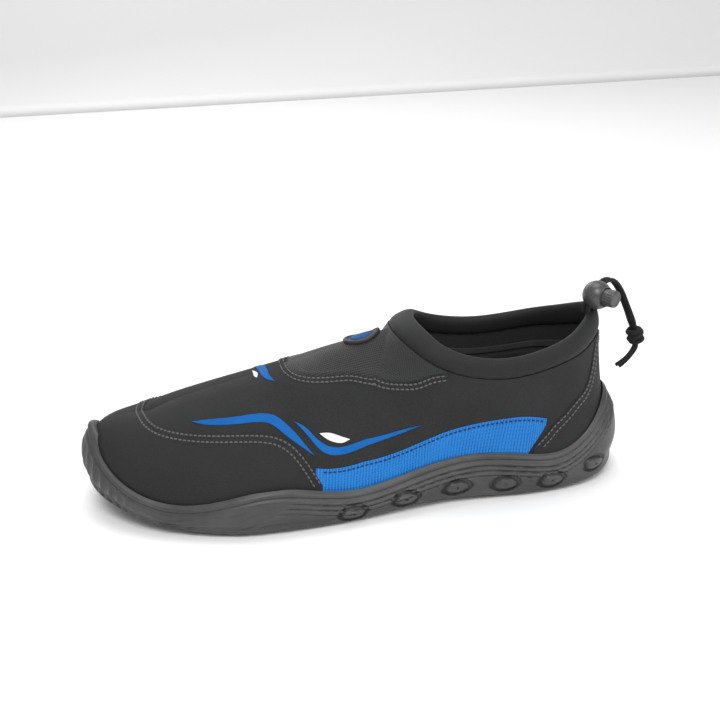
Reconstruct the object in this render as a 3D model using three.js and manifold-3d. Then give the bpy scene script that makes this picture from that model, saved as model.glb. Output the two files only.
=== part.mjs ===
// A water shoe for the left foot, in millimetres.
// The toe points along +X, the outer (lateral) side lies towards +Y, and +Z is up.
import * as THREE from 'three';
import { mergeVertices } from 'three/addons/utils/BufferGeometryUtils.js';
import Module from 'manifold-3d';

const wasm = await Module();
wasm.setup();

// Driving dimensions
const SHOE_LENGTH = 283;
const BALL_WIDTH = 103;
const INSTEP_HEIGHT = 90;
const CUP_HEIGHT = 47;
const TOE_SPRING = 12;
const HEEL_LIFT = 3;
const ARCH_LIFT = 2;
const HEEL_RUBBER = 11;
const BALL_RUBBER = 8;
const RIM_WALL = 3.6;
const EDGE_ROUND = 12;
const BEAD_WIDTH = 3;
const BEAD_PROUD = 1;
const UPPER_WALL = 2.2;
const INSOLE_THICKNESS = 3.2;
const CAP_THICKNESS = 0.9;
const PANEL_THICKNESS = 0.6;
const ROLL_THICKNESS = 6;
const CLEARANCE = 0.3;
const SEAT_GAP = 0.75;
const LIP_GAP = 0.55;

// Tread
const GROOVE_WIDTH = 3;
const GROOVE_DEPTH = 2;
const SLOT_WIDTH = 2;
const SLOT_DEPTH = 1.5;
const RIB_PITCH = 6.8;
const BAR_PITCH = 8.4;
const BAR_SLANT = 6;
const POD_LENGTH = 13;
const POD_BREADTH = 8;
const POD_GROOVE = 1.5;
const POD_DEPTH = 1.3;
const POD_SIDES = 8;

// Badge, cord lock and drawcord
const BADGE_LENGTH = 19;
const BADGE_BREADTH = 13;
const BADGE_THICKNESS = 1.8;
const LOCK_DIAMETER = 15;
const BUTTON_DIAMETER = 9;
const BUTTON_TRAVEL = 3;
const BUTTON_PROUD = 4.4;
const CORD_OFFSET = 2.5;
const CORD_DIAMETER = 2.2;
const CORD_SIDES = 7;
const KNOT_LENGTH = 12;
const KNOT_BREADTH = 8.5;

// Plan of the sole: station from heel 0 to toe 1, then centre line and half breadth
// as shares of half the ball width, lateral positive
const PLAN = [
  [0.00, 0.00, 0.000],
  [0.05, 0.00, 0.520],
  [0.13, 0.01, 0.672],
  [0.22, 0.03, 0.700],
  [0.32, 0.06, 0.672],
  [0.42, 0.09, 0.725],
  [0.54, 0.09, 0.845],
  [0.64, 0.05, 0.950],
  [0.72, 0.00, 1.000],
  [0.80, -0.05, 0.950],
  [0.88, -0.10, 0.820],
  [0.95, -0.14, 0.570],
  [1.00, -0.16, 0.000],
];

// Lip of the sole's side: station, lateral height and medial height as shares of the
// cup height, and how far the lip leans in as a share of the edge round
const LIP = [
  [0.000, 1.00, 1.00, 0.66],
  [0.030, 0.88, 0.88, 0.50],
  [0.080, 0.65, 0.66, 0.30],
  [0.140, 0.49, 0.51, 0.18],
  [0.220, 0.53, 0.56, 0.16],
  [0.320, 0.57, 0.60, 0.16],
  [0.420, 0.48, 0.55, 0.16],
  [0.530, 0.39, 0.45, 0.16],
  [0.660, 0.51, 0.47, 0.16],
  [0.800, 0.38, 0.39, 0.16],
  [0.920, 0.47, 0.49, 0.18],
  [0.975, 0.72, 0.72, 0.36],
  [1.000, 0.98, 0.98, 0.56],
];

// Side of the sole from the tread edge to the lip: share of the way up, inset as a
// share of the edge round, and share of the lip's lean
const SIDE = [
  [0.00, 1.00, 0.00],
  [0.05, 0.50, 0.00],
  [0.19, 0.20, 0.00],
  [0.40, 0.03, 0.00],
  [0.58, 0.00, 0.05],
  [0.80, 0.00, 0.34],
  [1.00, 0.00, 1.00],
];

// Walls of the upper, one row for each meridian: station of its foot, how far it
// rises straight, how far it bulges as a share of half the ball width, and the
// reach and drop of its shoulder
const WALLS = [
  [0.000, 0.40, -0.107, 0.12, 0.36],
  [0.050, 0.40, -0.050, 0.12, 0.36],
  [0.140, 0.40, 0.010, 0.08, 0.36],
  [0.260, 0.40, 0.020, 0.05, 0.36],
  [0.360, 0.38, 0.000, 0.10, 0.32],
  [0.440, 0.40, 0.000, 0.25, 0.22],
  [0.510, 0.42, 0.000, 0.38, 0.10],
  [0.590, 0.44, 0.000, 0.44, 0.03],
  [0.690, 0.50, 0.000, 0.50, 0.01],
  [0.790, 0.55, 0.000, 0.52, 0.01],
  [0.880, 0.58, 0.000, 0.54, 0.01],
  [0.950, 0.60, 0.000, 0.56, 0.03],
  [1.000, 0.60, 0.000, 0.56, 0.08],
];

// Top line of the upper round the collar, heel to front: length as a share of the
// shoe length, lateral and medial as shares of half the ball width, height as a
// share of the instep height, then the same four for the top of the padded roll
const COLLAR = [
  [-0.458, 0.000, 0.000, 0.867, -0.450, 0.000, 0.000, 1.011],
  [-0.423, 0.369, -0.369, 0.822, -0.414, 0.330, -0.330, 0.956],
  [-0.361, 0.602, -0.592, 0.783, -0.354, 0.563, -0.553, 0.900],
  [-0.261, 0.700, -0.670, 0.744, -0.257, 0.670, -0.640, 0.861],
  [-0.157, 0.660, -0.640, 0.800, -0.168, 0.602, -0.583, 0.911],
  [-0.095, 0.437, -0.466, 0.906, -0.129, 0.350, -0.379, 0.983],
  [-0.071, -0.019, -0.019, 0.956, -0.116, -0.019, -0.019, 1.011],
];

// Ridge of the instep from the collar to the toe box: length, side and height shares
const RIDGE = [
  [-0.071, -0.019, 0.956],
  [0.014, -0.058, 0.878],
  [0.129, -0.097, 0.772],
  [0.229, -0.136, 0.694],
  [0.307, -0.165, 0.633],
  [0.354, -0.175, 0.594],
  [0.371, -0.175, 0.578],
];

const FRONT = COLLAR.length - 1;
const TOE = WALLS.length - 1;
const RING = 2 * TOE;

// A natural cubic spline through the points (xs[i], ys[i])
function spline(xs, ys) {
  const bend = xs.map(() => 0);
  const c = xs.map(() => 0);
  const d = xs.map(() => 0);
  for (let i = 1; i < xs.length - 1; i++) {
    const before = xs[i] - xs[i - 1];
    const after = xs[i + 1] - xs[i];
    const turn = 6 * ((ys[i + 1] - ys[i]) / after - (ys[i] - ys[i - 1]) / before);
    const p = 2 * (before + after) - before * c[i - 1];
    c[i] = after / p;
    d[i] = (turn - before * d[i - 1]) / p;
  }
  for (let i = xs.length - 2; i > 0; i--) bend[i] = d[i] - c[i] * bend[i + 1];
  return (x) => {
    let i = 0;
    while (i < xs.length - 2 && x > xs[i + 1]) i++;
    const h = xs[i + 1] - xs[i];
    const a = xs[i + 1] - x;
    const b = x - xs[i];
    return (bend[i] * a ** 3 + bend[i + 1] * b ** 3) / (6 * h)
      + (ys[i] / h - bend[i] * h / 6) * a + (ys[i + 1] / h - bend[i + 1] * h / 6) * b;
  };
}

// A spline through values that repeat round a ring, with a step of one between them
// and a rise of `gain` for each turn
function ringSpline(values, gain = 0) {
  const n = values.length;
  const xs = [];
  const ys = [];
  for (let i = -3; i <= n + 3; i++) {
    xs.push(i);
    ys.push(values[(i + n) % n] + gain * Math.floor(i / n));
  }
  const curve = spline(xs, ys);
  return (x) => {
    const turns = Math.floor(x / n);
    return curve(x - turns * n) + gain * turns;
  };
}

// A spline that is level at both ends, made so by mirroring two rows past each
function levelEnds(xs, ys) {
  const [first, last] = [xs[0], xs[xs.length - 1]];
  const before = [2, 1];
  const after = [xs.length - 2, xs.length - 3];
  return spline(
    [...before.map((i) => 2 * first - xs[i]), ...xs, ...after.map((i) => 2 * last - xs[i])],
    [...before.map((i) => ys[i]), ...ys, ...after.map((i) => ys[i])],
  );
}

const column = (rows, k, scale = 1) => rows.map((row) => row[k] * scale);

// Values on the lateral side from heel to front, then back on the medial side
const bothSides = (lateral, medial = lateral) => [...lateral, ...medial.slice(1, -1).reverse()];

// Angle share along the plan, 0 at the heel and 1 at the toe, so that the ends are round
const angleOf = (station) => Math.acos(1 - 2 * station) / Math.PI;
const stationOf = (angle) => (1 - Math.cos(Math.PI * angle)) / 2;
const HALF = BALL_WIDTH / 2;
const planAngles = PLAN.map((row) => angleOf(row[0]));
const centre = spline(planAngles, column(PLAN, 1, HALF));
const halfBreadth = spline(planAngles, column(PLAN, 2, HALF));
const lipAngles = LIP.map((row) => angleOf(row[0]));
const lipLateral = levelEnds(lipAngles, column(LIP, 1, CUP_HEIGHT));
const lipMedial = levelEnds(lipAngles, column(LIP, 2, CUP_HEIGHT));
const lipLean = levelEnds(lipAngles, column(LIP, 3, EDGE_ROUND));

// The turn q goes from 0 at the heel along the lateral side to 1 at the toe, and
// back along the medial side to 2
function fold(q) {
  const turn = ((q % 2) + 2) % 2;
  return turn <= 1 ? { angle: turn, side: 1 } : { angle: 2 - turn, side: -1 };
}

function planPoint(q) {
  const { angle, side } = fold(q);
  const x = SHOE_LENGTH * (stationOf(angle) - 0.5);
  return new THREE.Vector3(x, centre(angle) + side * halfBreadth(angle), 0);
}

function planNormal(q) {
  const step = 0.002;
  const way = planPoint(q + step).sub(planPoint(q - step)).normalize();
  return new THREE.Vector3(-way.y, way.x, 0);
}

const outline = (q, inset) => planPoint(q).addScaledVector(planNormal(q), -inset);

// Height of the lip at turn q
function lipHeight(q) {
  const { angle, side } = fold(q);
  return side > 0 ? lipLateral(angle) : lipMedial(angle);
}

// Underside of the sole: flat under heel and ball, lifted at the heel edge, arch and toe
const SPRING_FROM = 0.70;
const HEEL_TO = 0.07;
const ARCH_FROM = 0.24;
const ARCH_TO = 0.56;
function ground(x) {
  const s = THREE.MathUtils.clamp(x / SHOE_LENGTH + 0.5, 0, 1);
  const toe = Math.max(0, (s - SPRING_FROM) / (1 - SPRING_FROM));
  const heel = Math.max(0, 1 - s / HEEL_TO);
  const arch = THREE.MathUtils.clamp((s - ARCH_FROM) / (ARCH_TO - ARCH_FROM), 0, 1);
  return TOE_SPRING * toe ** 2 + HEEL_LIFT * heel ** 2 + ARCH_LIFT * Math.sin(Math.PI * arch) ** 2;
}

// Inside of the sole's cup, thicker under the heel than under the ball
const RAMP_FROM = 0.25;
const RAMP_TO = 0.60;
function cupFloor(x) {
  const ramp = THREE.MathUtils.smoothstep(x / SHOE_LENGTH + 0.5, RAMP_FROM, RAMP_TO);
  return ground(x) + THREE.MathUtils.lerp(HEEL_RUBBER, BALL_RUBBER, ramp);
}

// Ring coordinate w: 0 at the heel, TOE at the toe on the lateral side, and back to
// RING on the medial side
const turnValues = [
  ...WALLS.map((row) => angleOf(row[0])),
  ...WALLS.slice(1, -1).reverse().map((row) => 2 - angleOf(row[0])),
];
const turnAt = ringSpline(turnValues, 2);
const riseAt = ringSpline(bothSides(column(WALLS, 1)));
const bulgeAt = ringSpline(bothSides(column(WALLS, 2, HALF)));
const reachAt = ringSpline(bothSides(column(WALLS, 3)));
const dropAt = ringSpline(bothSides(column(WALLS, 4)));

const wrap = (w) => ((w % RING) + RING) % RING;
const rowOf = (w) => (wrap(w) <= TOE ? wrap(w) : RING - wrap(w));
const sideOf = (w) => (wrap(w) <= TOE ? 1 : -1);

// Collar lines: the upper's top edge and the top of the roll, both over w
function collarLine(first) {
  const x = ringSpline(bothSides(column(COLLAR, first, SHOE_LENGTH)));
  const y = ringSpline(bothSides(
    column(COLLAR, first + 1, HALF),
    column(COLLAR, first + 2, HALF),
  ));
  const z = ringSpline(bothSides(column(COLLAR, first + 3, INSTEP_HEIGHT)));
  return (w) => {
    const k = sideOf(w) > 0 ? rowOf(w) : 2 * FRONT - rowOf(w);
    return new THREE.Vector3(x(k), y(k), z(k));
  };
}
const edgeLine = collarLine(0);
const rollLine = collarLine(4);

const ridgeRows = RIDGE.map((_, i) => FRONT + i);
const ridgeX = spline(ridgeRows, column(RIDGE, 0, SHOE_LENGTH));
const ridgeY = spline(ridgeRows, column(RIDGE, 1, HALF));
const ridgeZ = spline(ridgeRows, column(RIDGE, 2, INSTEP_HEIGHT));

function topLine(w) {
  const row = rowOf(w);
  if (row < FRONT) return edgeLine(w);
  return new THREE.Vector3(ridgeX(row), ridgeY(row), ridgeZ(row));
}

// Outer face of the upper at ring coordinate w and share v up its meridian
function skin(w, v) {
  const q = turnAt(w);
  const foot = outline(q, RIM_WALL);
  foot.z = cupFloor(foot.x) + CLEARANCE;
  const head = topLine(w);
  const height = head.z - foot.z;
  const wall = foot.clone().addScaledVector(planNormal(q), bulgeAt(w));
  wall.z += height * riseAt(w);
  const shoulder = head.clone();
  shoulder.x += (foot.x - head.x) * reachAt(w);
  shoulder.y += (foot.y - head.y) * reachAt(w);
  shoulder.z -= height * dropAt(w);
  const t = 1 - v;
  return foot.multiplyScalar(t ** 3).addScaledVector(wall, 3 * t * t * v)
    .addScaledVector(shoulder, 3 * t * v * v).addScaledVector(head, v ** 3);
}

function slope(w, v) {
  const step = 0.01;
  const along = skin(w + step, v).sub(skin(w - step, v));
  const up = skin(w, Math.min(1, v + step)).sub(skin(w, Math.max(0, v - step)));
  return up.cross(along).normalize();
}

// Outward normal of the upper; on the ridge both sides share one
function normal(w, v) {
  const own = slope(w, v);
  if (v < 1 || rowOf(w) < FRONT) return own;
  return own.add(slope(RING - wrap(w), v)).normalize();
}

const skinOut = (w, v, out) => skin(w, v).addScaledVector(normal(w, v), out);

// Share v at which a meridian reaches height z
function shareAt(w, z) {
  let low = 0;
  let high = 1;
  for (let i = 0; i < 30; i++) {
    const mid = (low + high) / 2;
    if (skin(w, mid).z < z) low = mid;
    else high = mid;
  }
  return (low + high) / 2;
}

// Ring coordinate of a station on the plan
function ringAt(station, side) {
  const goal = side > 0 ? angleOf(station) : 2 - angleOf(station);
  let low = side > 0 ? 0 : TOE;
  let high = side > 0 ? TOE : RING;
  for (let i = 0; i < 30; i++) {
    const mid = (low + high) / 2;
    if (turnAt(mid) < goal) low = mid;
    else high = mid;
  }
  return (low + high) / 2;
}

// Faces gathered one by one into a closed mesh
class Faces {
  constructor() {
    this.numbers = [];
  }

  triangle(a, b, c) {
    const least = 1e-6;
    if (a.distanceToSquared(b) < least || b.distanceToSquared(c) < least) return;
    if (c.distanceToSquared(a) < least) return;
    for (const p of [a, b, c]) this.numbers.push(p.x, p.y, p.z);
  }

  quad(a, b, c, d) {
    this.triangle(a, b, c);
    this.triangle(a, c, d);
  }

  // Between two rows of points, facing left of their run when the second lies above
  band(lower, upper, closed) {
    const last = closed ? lower.length : lower.length - 1;
    for (let i = 0; i < last; i++) {
      const j = (i + 1) % lower.length;
      this.quad(lower[i], upper[i], upper[j], lower[j]);
    }
  }

  // A closed row filled from side to side, its second half matching the first
  cap(row, up) {
    const half = row.length / 2;
    for (let i = 0; i < half; i++) {
      const a = row[i];
      const b = row[i + 1];
      const c = row[(row.length - i - 1) % row.length];
      const d = row[(row.length - i) % row.length];
      if (up) this.quad(a, d, c, b);
      else this.quad(a, b, c, d);
    }
  }

  geometry() {
    const shape = new THREE.BufferGeometry();
    shape.setAttribute('position', new THREE.Float32BufferAttribute(this.numbers, 3));
    return mergeVertices(shape, 1e-4);
  }
}

// A solid from closed rows: up the outside, over, and down the inside
function loopSolid(rows) {
  const faces = new Faces();
  rows.forEach((row, k) => faces.band(row, rows[(k + 1) % rows.length], true));
  return faces.geometry();
}

function cappedSolid(rows) {
  const faces = new Faces();
  for (let k = 1; k < rows.length; k++) faces.band(rows[k - 1], rows[k], true);
  faces.cap(rows[0], false);
  faces.cap(rows[rows.length - 1], true);
  return faces.geometry();
}

// A slab between two offsets of one sheet of points, with its four edges closed
function slab(columns, rows, place, near, far) {
  const sheet = (out) => rows.map((r) => columns.map((c) => place(c, r, out)));
  const outer = sheet(far);
  const inner = sheet(near);
  const faces = new Faces();
  const top = rows.length - 1;
  const end = columns.length - 1;
  for (let k = 1; k <= top; k++) {
    faces.band(outer[k - 1], outer[k], false);
    faces.band(inner[k], inner[k - 1], false);
  }
  faces.band(inner[0], outer[0], false);
  faces.band(outer[top], inner[top], false);
  for (let k = 1; k <= top; k++) {
    faces.quad(inner[k - 1][0], inner[k][0], outer[k][0], outer[k - 1][0]);
    faces.quad(outer[k - 1][end], outer[k][end], inner[k][end], inner[k - 1][end]);
  }
  return faces.geometry();
}

function toSolid(geometry) {
  const bare = geometry.clone();
  bare.deleteAttribute('normal');
  bare.deleteAttribute('uv');
  const merged = mergeVertices(bare, 1e-4);
  return new wasm.Manifold(new wasm.Mesh({
    numProp: 3,
    vertProperties: new Float32Array(merged.attributes.position.array),
    triVerts: new Uint32Array(merged.index.array),
  }));
}

function toGeometry(solid) {
  const mesh = solid.getMesh();
  const shape = new THREE.BufferGeometry();
  shape.setAttribute('position', new THREE.BufferAttribute(mesh.vertProperties, 3));
  shape.setIndex(new THREE.BufferAttribute(mesh.triVerts, 1));
  return shape;
}

const steps = (from, to, count) => Array.from(
  { length: count + 1 },
  (_, i) => from + (to - from) * i / count,
);

// Meridians of the faceted walls, closer together round the heel and the toe
const ENDS = 2;
const MIDDLE = 12;
const HALF_RING = [
  ...steps(0, ENDS, 3 * ENDS),
  ...steps(ENDS, TOE - ENDS, MIDDLE).slice(1, -1),
  ...steps(TOE - ENDS, TOE, 3 * ENDS),
];
const AROUND = [...HALF_RING, ...HALF_RING.slice(1, -1).map((w) => RING - w).reverse()];

const sideEdge = spline(column(SIDE, 0), column(SIDE, 1, EDGE_ROUND));
const sideLean = spline(column(SIDE, 0), column(SIDE, 2));

// Side of the sole at share t from tread edge to lip, pushed out by `out`
function solePoint(w, t, out = 0) {
  const q = turnAt(w);
  const inset = sideEdge(t) + sideLean(t) * lipLean(fold(q).angle);
  const point = outline(q, inset - out);
  const low = ground(point.x);
  point.z = low + (lipHeight(q) - low) * t;
  return point;
}

// Height of the sole's side at ring coordinate w, from tread edge to lip
function sideHeight(w) {
  const q = turnAt(w);
  return lipHeight(q) - ground(planPoint(q).x);
}

// A row of the bead that stands proud under the lip
const beadRow = (below, proud) => AROUND.map(
  (w) => solePoint(w, 1 - below / sideHeight(w), proud),
);

function soleBody() {
  const bead = BEAD_WIDTH + BEAD_PROUD;
  const rows = SIDE.slice(0, -1).map(([t]) => AROUND.map(
    (w) => solePoint(w, t * (1 - bead / sideHeight(w))),
  ));
  rows.push(beadRow(bead, 0), beadRow(BEAD_WIDTH, BEAD_PROUD));
  rows.push(beadRow(BEAD_PROUD, BEAD_PROUD), beadRow(0, 0));
  for (const share of steps(1, 0, 6)) {
    rows.push(AROUND.map((w) => {
      const q = turnAt(w);
      const foot = skin(w, 0).z;
      const v = shareAt(w, foot + (lipHeight(q) - foot) * share);
      const point = skinOut(w, v, SEAT_GAP);
      if (share === 0) point.z = cupFloor(point.x);
      return point;
    }));
  }
  return toSolid(cappedSolid(rows));
}

// Long grooves of the tread: station, then the groove's place as a share of half the
// ball width
const GROOVES = {
  inner: [
    [0.04, -0.22], [0.20, -0.165], [0.37, -0.08], [0.52, -0.14],
    [0.66, -0.39], [0.79, -0.55], [0.92, -0.38], [0.985, -0.42],
  ],
  middle: [
    [0.05, 0.02], [0.13, 0.13], [0.24, 0.165], [0.42, 0.09],
    [0.50, 0.05], [0.60, -0.05], [0.70, -0.08], [0.82, -0.01], [0.90, -0.04], [0.99, -0.16],
  ],
  outer: [
    [0.05, 0.27], [0.12, 0.36], [0.25, 0.42], [0.38, 0.37],
    [0.50, 0.44], [0.56, 0.53], [0.65, 0.60], [0.75, 0.57], [0.86, 0.39], [0.92, 0.22], [0.98, 0.17],
  ],
};

function grooveLine(rows) {
  const y = spline(column(rows, 0, SHOE_LENGTH), column(rows, 1, HALF));
  return (x) => y(x + SHOE_LENGTH / 2);
}
const innerGroove = grooveLine(GROOVES.inner);
const middleGroove = grooveLine(GROOVES.middle);
const outerGroove = grooveLine(GROOVES.outer);

// A cutter under the sole along a line of plan points, `depth` into the rubber
function slotCutter(points, width, depth) {
  const below = 3;
  const left = [];
  const right = [];
  points.forEach((p, i) => {
    const before = points[Math.max(0, i - 1)];
    const after = points[Math.min(points.length - 1, i + 1)];
    const way = after.clone().sub(before).normalize().multiplyScalar(width / 2);
    left.push(new THREE.Vector2(p.x - way.y, p.y + way.x));
    right.push(new THREE.Vector2(p.x + way.y, p.y - way.x));
  });
  const high = (p) => new THREE.Vector3(p.x, p.y, ground(p.x) + depth);
  const low = (p) => new THREE.Vector3(p.x, p.y, ground(p.x) - below);
  const rows = [right.map(low), right.map(high), left.map(high), left.map(low)];
  const faces = new Faces();
  rows.forEach((row, k) => faces.band(rows[(k + 1) % 4], row, false));
  const end = points.length - 1;
  faces.quad(rows[0][0], rows[1][0], rows[2][0], rows[3][0]);
  faces.quad(rows[3][end], rows[2][end], rows[1][end], rows[0][end]);
  return toSolid(faces.geometry());
}

function longGroove(line, from, to) {
  const points = steps(from, to, 13).map((station) => {
    const x = SHOE_LENGTH * (station - 0.5);
    return new THREE.Vector2(x, line(x));
  });
  return slotCutter(points, GROOVE_WIDTH, GROOVE_DEPTH);
}

// A groove round a pod of the tread, following the underside
const PODS = [
  [0.900, -0.600], [0.795, -0.695], [0.682, -0.660], [0.583, -0.447],
  [0.485, -0.280], [0.379, -0.258], [0.281, -0.340], [0.171, -0.353],
  [0.880, 0.470], [0.785, 0.660], [0.700, 0.775], [0.610, 0.790],
  [0.520, 0.690], [0.420, 0.590], [0.310, 0.560], [0.210, 0.570], [0.110, 0.500],
];

function podCutter([station, share]) {
  const middle = new THREE.Vector2(SHOE_LENGTH * (station - 0.5), share * HALF);
  const oval = (grow) => new THREE.EllipseCurve(
    middle.x,
    middle.y,
    POD_LENGTH / 2 + grow,
    POD_BREADTH / 2 + grow,
  ).getPoints(POD_SIDES).slice(0, -1);
  const shape = new THREE.Shape(oval(0));
  shape.holes.push(new THREE.Path(oval(-POD_GROOVE)));
  const ring = new THREE.ExtrudeGeometry(shape, { depth: 1, bevelEnabled: false });
  const place = ring.attributes.position;
  for (let i = 0; i < place.count; i++) {
    const low = ground(place.getX(i));
    place.setZ(i, place.getZ(i) > 0.5 ? low + POD_DEPTH : low - 1);
  }
  return toSolid(ring);
}

// Pods on the side of the sole: lateral and medial station of each
const SIDE_PODS = [
  [0.065, 0.080], [0.155, 0.180], [0.245, 0.270], [0.335, 0.364], [0.431, 0.476], [0.530, 0.572],
];
const SIDE_POD_HEIGHT = 0.36;
const SIDE_POD_PROUD = 1.1;

function sidePod(station, side) {
  const w = ringAt(station, side);
  const middle = solePoint(w, SIDE_POD_HEIGHT);
  const up = solePoint(w, SIDE_POD_HEIGHT + 0.1).sub(solePoint(w, SIDE_POD_HEIGHT - 0.1));
  const along = solePoint(w + 0.1, SIDE_POD_HEIGHT).sub(solePoint(w - 0.1, SIDE_POD_HEIGHT));
  const out = up.clone().cross(along).normalize();
  along.normalize();
  const profile = [[0, -2], [1, -2], [0.75, 1], [0, 1]];
  const lens = new THREE.LatheGeometry(
    profile.map(([r, h]) => new THREE.Vector2(r, h * SIDE_POD_PROUD)),
    POD_SIDES,
  );
  lens.scale(POD_LENGTH / 2, 1, POD_BREADTH / 2);
  const turn = new THREE.Matrix4().makeBasis(along, out, along.clone().cross(out));
  turn.setPosition(middle);
  lens.applyMatrix4(turn);
  return toSolid(lens);
}

// Upright ribs round the toe bumper
const TOE_RIB_STEP = 0.19;
const TOE_RIB_WIDTH = 0.045;
const TOE_RIB_PROUD = 0.9;
const TOE_RIBS = 7;

function toeRib(w) {
  const shares = steps(0.22, 0.78, 2);
  const row = (across, out) => shares.map((t) => solePoint(w + across, t, out));
  const sunk = -1;
  const rows = [
    row(TOE_RIB_WIDTH, sunk),
    row(TOE_RIB_WIDTH, TOE_RIB_PROUD),
    row(-TOE_RIB_WIDTH, TOE_RIB_PROUD),
    row(-TOE_RIB_WIDTH, sunk),
  ];
  const faces = new Faces();
  rows.forEach((line, k) => faces.band(line, rows[(k + 1) % 4], false));
  const end = shares.length - 1;
  faces.quad(rows[3][0], rows[2][0], rows[1][0], rows[0][0]);
  faces.quad(rows[0][end], rows[1][end], rows[2][end], rows[3][end]);
  return toSolid(faces.geometry());
}

function outsole() {
  let body = soleBody();
  for (const [lateral, medial] of SIDE_PODS) {
    body = body.add(sidePod(lateral, 1)).add(sidePod(medial, -1));
  }
  for (let k = 0; k < TOE_RIBS; k++) {
    body = body.add(toeRib(TOE + (k - (TOE_RIBS - 1) / 2) * TOE_RIB_STEP));
  }
  const cutters = [
    longGroove(innerGroove, 0.045, 0.975),
    longGroove(middleGroove, 0.055, 0.985),
    longGroove(outerGroove, 0.060, 0.970),
    ...PODS.map(podCutter),
  ];
  const from = SHOE_LENGTH * (0.08 - 0.5);
  const to = SHOE_LENGTH * (0.95 - 0.5);
  for (let x = from; x < to; x += RIB_PITCH) {
    const points = [new THREE.Vector2(x, innerGroove(x)), new THREE.Vector2(x, middleGroove(x))];
    cutters.push(slotCutter(points, SLOT_WIDTH, SLOT_DEPTH));
  }
  for (let x = from; x < to - BAR_SLANT; x += BAR_PITCH) {
    const ahead = x + BAR_SLANT;
    const points = [new THREE.Vector2(x, middleGroove(x)), new THREE.Vector2(ahead, outerGroove(ahead))];
    cutters.push(slotCutter(points, SLOT_WIDTH, SLOT_DEPTH));
  }
  let tread = cutters[0];
  for (const cutter of cutters.slice(1)) tread = tread.add(cutter);
  return toGeometry(body.subtract(tread));
}

// Upper: one hollow wall, open at the collar and underneath
function upper() {
  const shares = steps(0, 1, 8);
  const outer = shares.map((v) => AROUND.map((w) => skin(w, v)));
  const inner = shares.map((v) => AROUND.map((w) => skinOut(w, v, -UPPER_WALL)));
  inner[0].forEach((point, i) => point.setZ(outer[0][i].z));
  const faces = new Faces();
  for (let k = 1; k < shares.length; k++) {
    faces.band(outer[k - 1], outer[k], true);
    faces.band(inner[k], inner[k - 1], true);
  }
  faces.band(inner[0], outer[0], true);
  const top = shares.length - 1;
  AROUND.forEach((w, i) => {
    const j = (i + 1) % AROUND.length;
    if (rowOf(w) > FRONT || rowOf(AROUND[j]) > FRONT) return;
    faces.quad(outer[top][i], inner[top][i], inner[top][j], outer[top][j]);
  });
  const wall = toSolid(faces.geometry());
  return toGeometry(wall.subtract(toSolid(collarRoll(CLEARANCE))));
}

function insole() {
  const inset = RIM_WALL + UPPER_WALL + 3 * CLEARANCE;
  const edge = (more, height) => AROUND.map((w) => {
    const point = outline(turnAt(w), inset + more);
    point.z = cupFloor(point.x) + height;
    return point;
  });
  const top = CLEARANCE + INSOLE_THICKNESS;
  return cappedSolid([edge(0, CLEARANCE), edge(0, top - 1), edge(1, top)]);
}

// Padded roll that stands on the top edge of the upper, grown all round by `grow`
function collarRoll(grow = 0) {
  const side = steps(0, FRONT, 15);
  const around = [...side, ...side.slice(1, -1).map((w) => RING - w).reverse()];
  const sides = 9;
  const rows = [];
  for (let k = 0; k < sides; k++) {
    const turn = 2 * Math.PI * k / sides;
    rows.push(around.map((w) => {
      const low = edgeLine(w);
      const high = rollLine(w);
      const up = high.clone().sub(low);
      const half = (up.length() - CLEARANCE) / 2 + grow;
      up.normalize();
      const step = 0.02;
      const way = rollLine(w + step).sub(rollLine(w - step)).normalize();
      const out = up.clone().cross(way).normalize();
      const middle = low.lerp(high, 0.5).addScaledVector(up, CLEARANCE / 2);
      middle.addScaledVector(out, -UPPER_WALL / 2);
      const rise = Math.sign(-Math.cos(turn)) * Math.abs(Math.cos(turn)) ** 0.8;
      return middle.addScaledVector(up, rise * half)
        .addScaledVector(out, Math.sin(turn) * (ROLL_THICKNESS / 2 + grow));
    }));
  }
  return loopSolid(rows);
}

// Overlays follow the upper's own face between the sole's lip and a top edge
const lipShare = (w) => shareAt(w, lipHeight(turnAt(w)) + LIP_GAP);

// Top edges of the overlays, and the slanted rear edge of the side panel:
// meridian row, then share of the way up that meridian
const CAP_TOP = [
  [7.05, 0.170], [7.35, 0.285], [7.70, 0.385], [8.20, 0.445], [9.00, 0.468],
  [9.70, 0.505], [10.3, 0.590], [11.0, 0.735], [12.0, 0.880],
];
const COUNTER_TOP = [
  [0.00, 0.960], [0.70, 0.950], [0.95, 0.800], [1.25, 0.680], [1.67, 0.595],
  [1.96, 0.506], [2.16, 0.434], [2.33, 0.336], [2.46, 0.270],
];
const PANEL_TOP = [
  [2.28, 0.530], [2.60, 0.590], [3.16, 0.601], [3.72, 0.520], [4.41, 0.369],
  [5.24, 0.256], [6.20, 0.222], [6.95, 0.235],
];
const PANEL_REAR = [[2.28, 0.470], [2.38, 0.371], [2.55, 0.200]];

function edgeShare(rows) {
  const share = spline(column(rows, 0), column(rows, 1));
  const last = rows[rows.length - 1];
  return (w) => share(THREE.MathUtils.clamp(rowOf(w), rows[0][0], last[0]));
}

const capTop = edgeShare(CAP_TOP);
const counterTop = edgeShare(COUNTER_TOP);
const panelTop = edgeShare(PANEL_TOP);
const panelRear = edgeShare(PANEL_REAR);

function overlay(around, lowShare, highShare, thickness, levels) {
  const place = ([w, low, high], share, out) => skinOut(w, low + (high - low) * share, out);
  const columns = around.map((w) => [w, lowShare(w), highShare(w)]);
  return slab(columns, steps(0, 1, levels), place, SEAT_GAP, SEAT_GAP + thickness);
}

// Ring coordinates of the upper's own columns between two ends, and the ends
function between(from, to) {
  const least = 0.05;
  const twoTurns = [...AROUND, ...AROUND.map((w) => w + RING)];
  const inner = twoTurns.filter((w) => w > from + least && w < to - least);
  return [from, ...inner, to];
}

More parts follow.
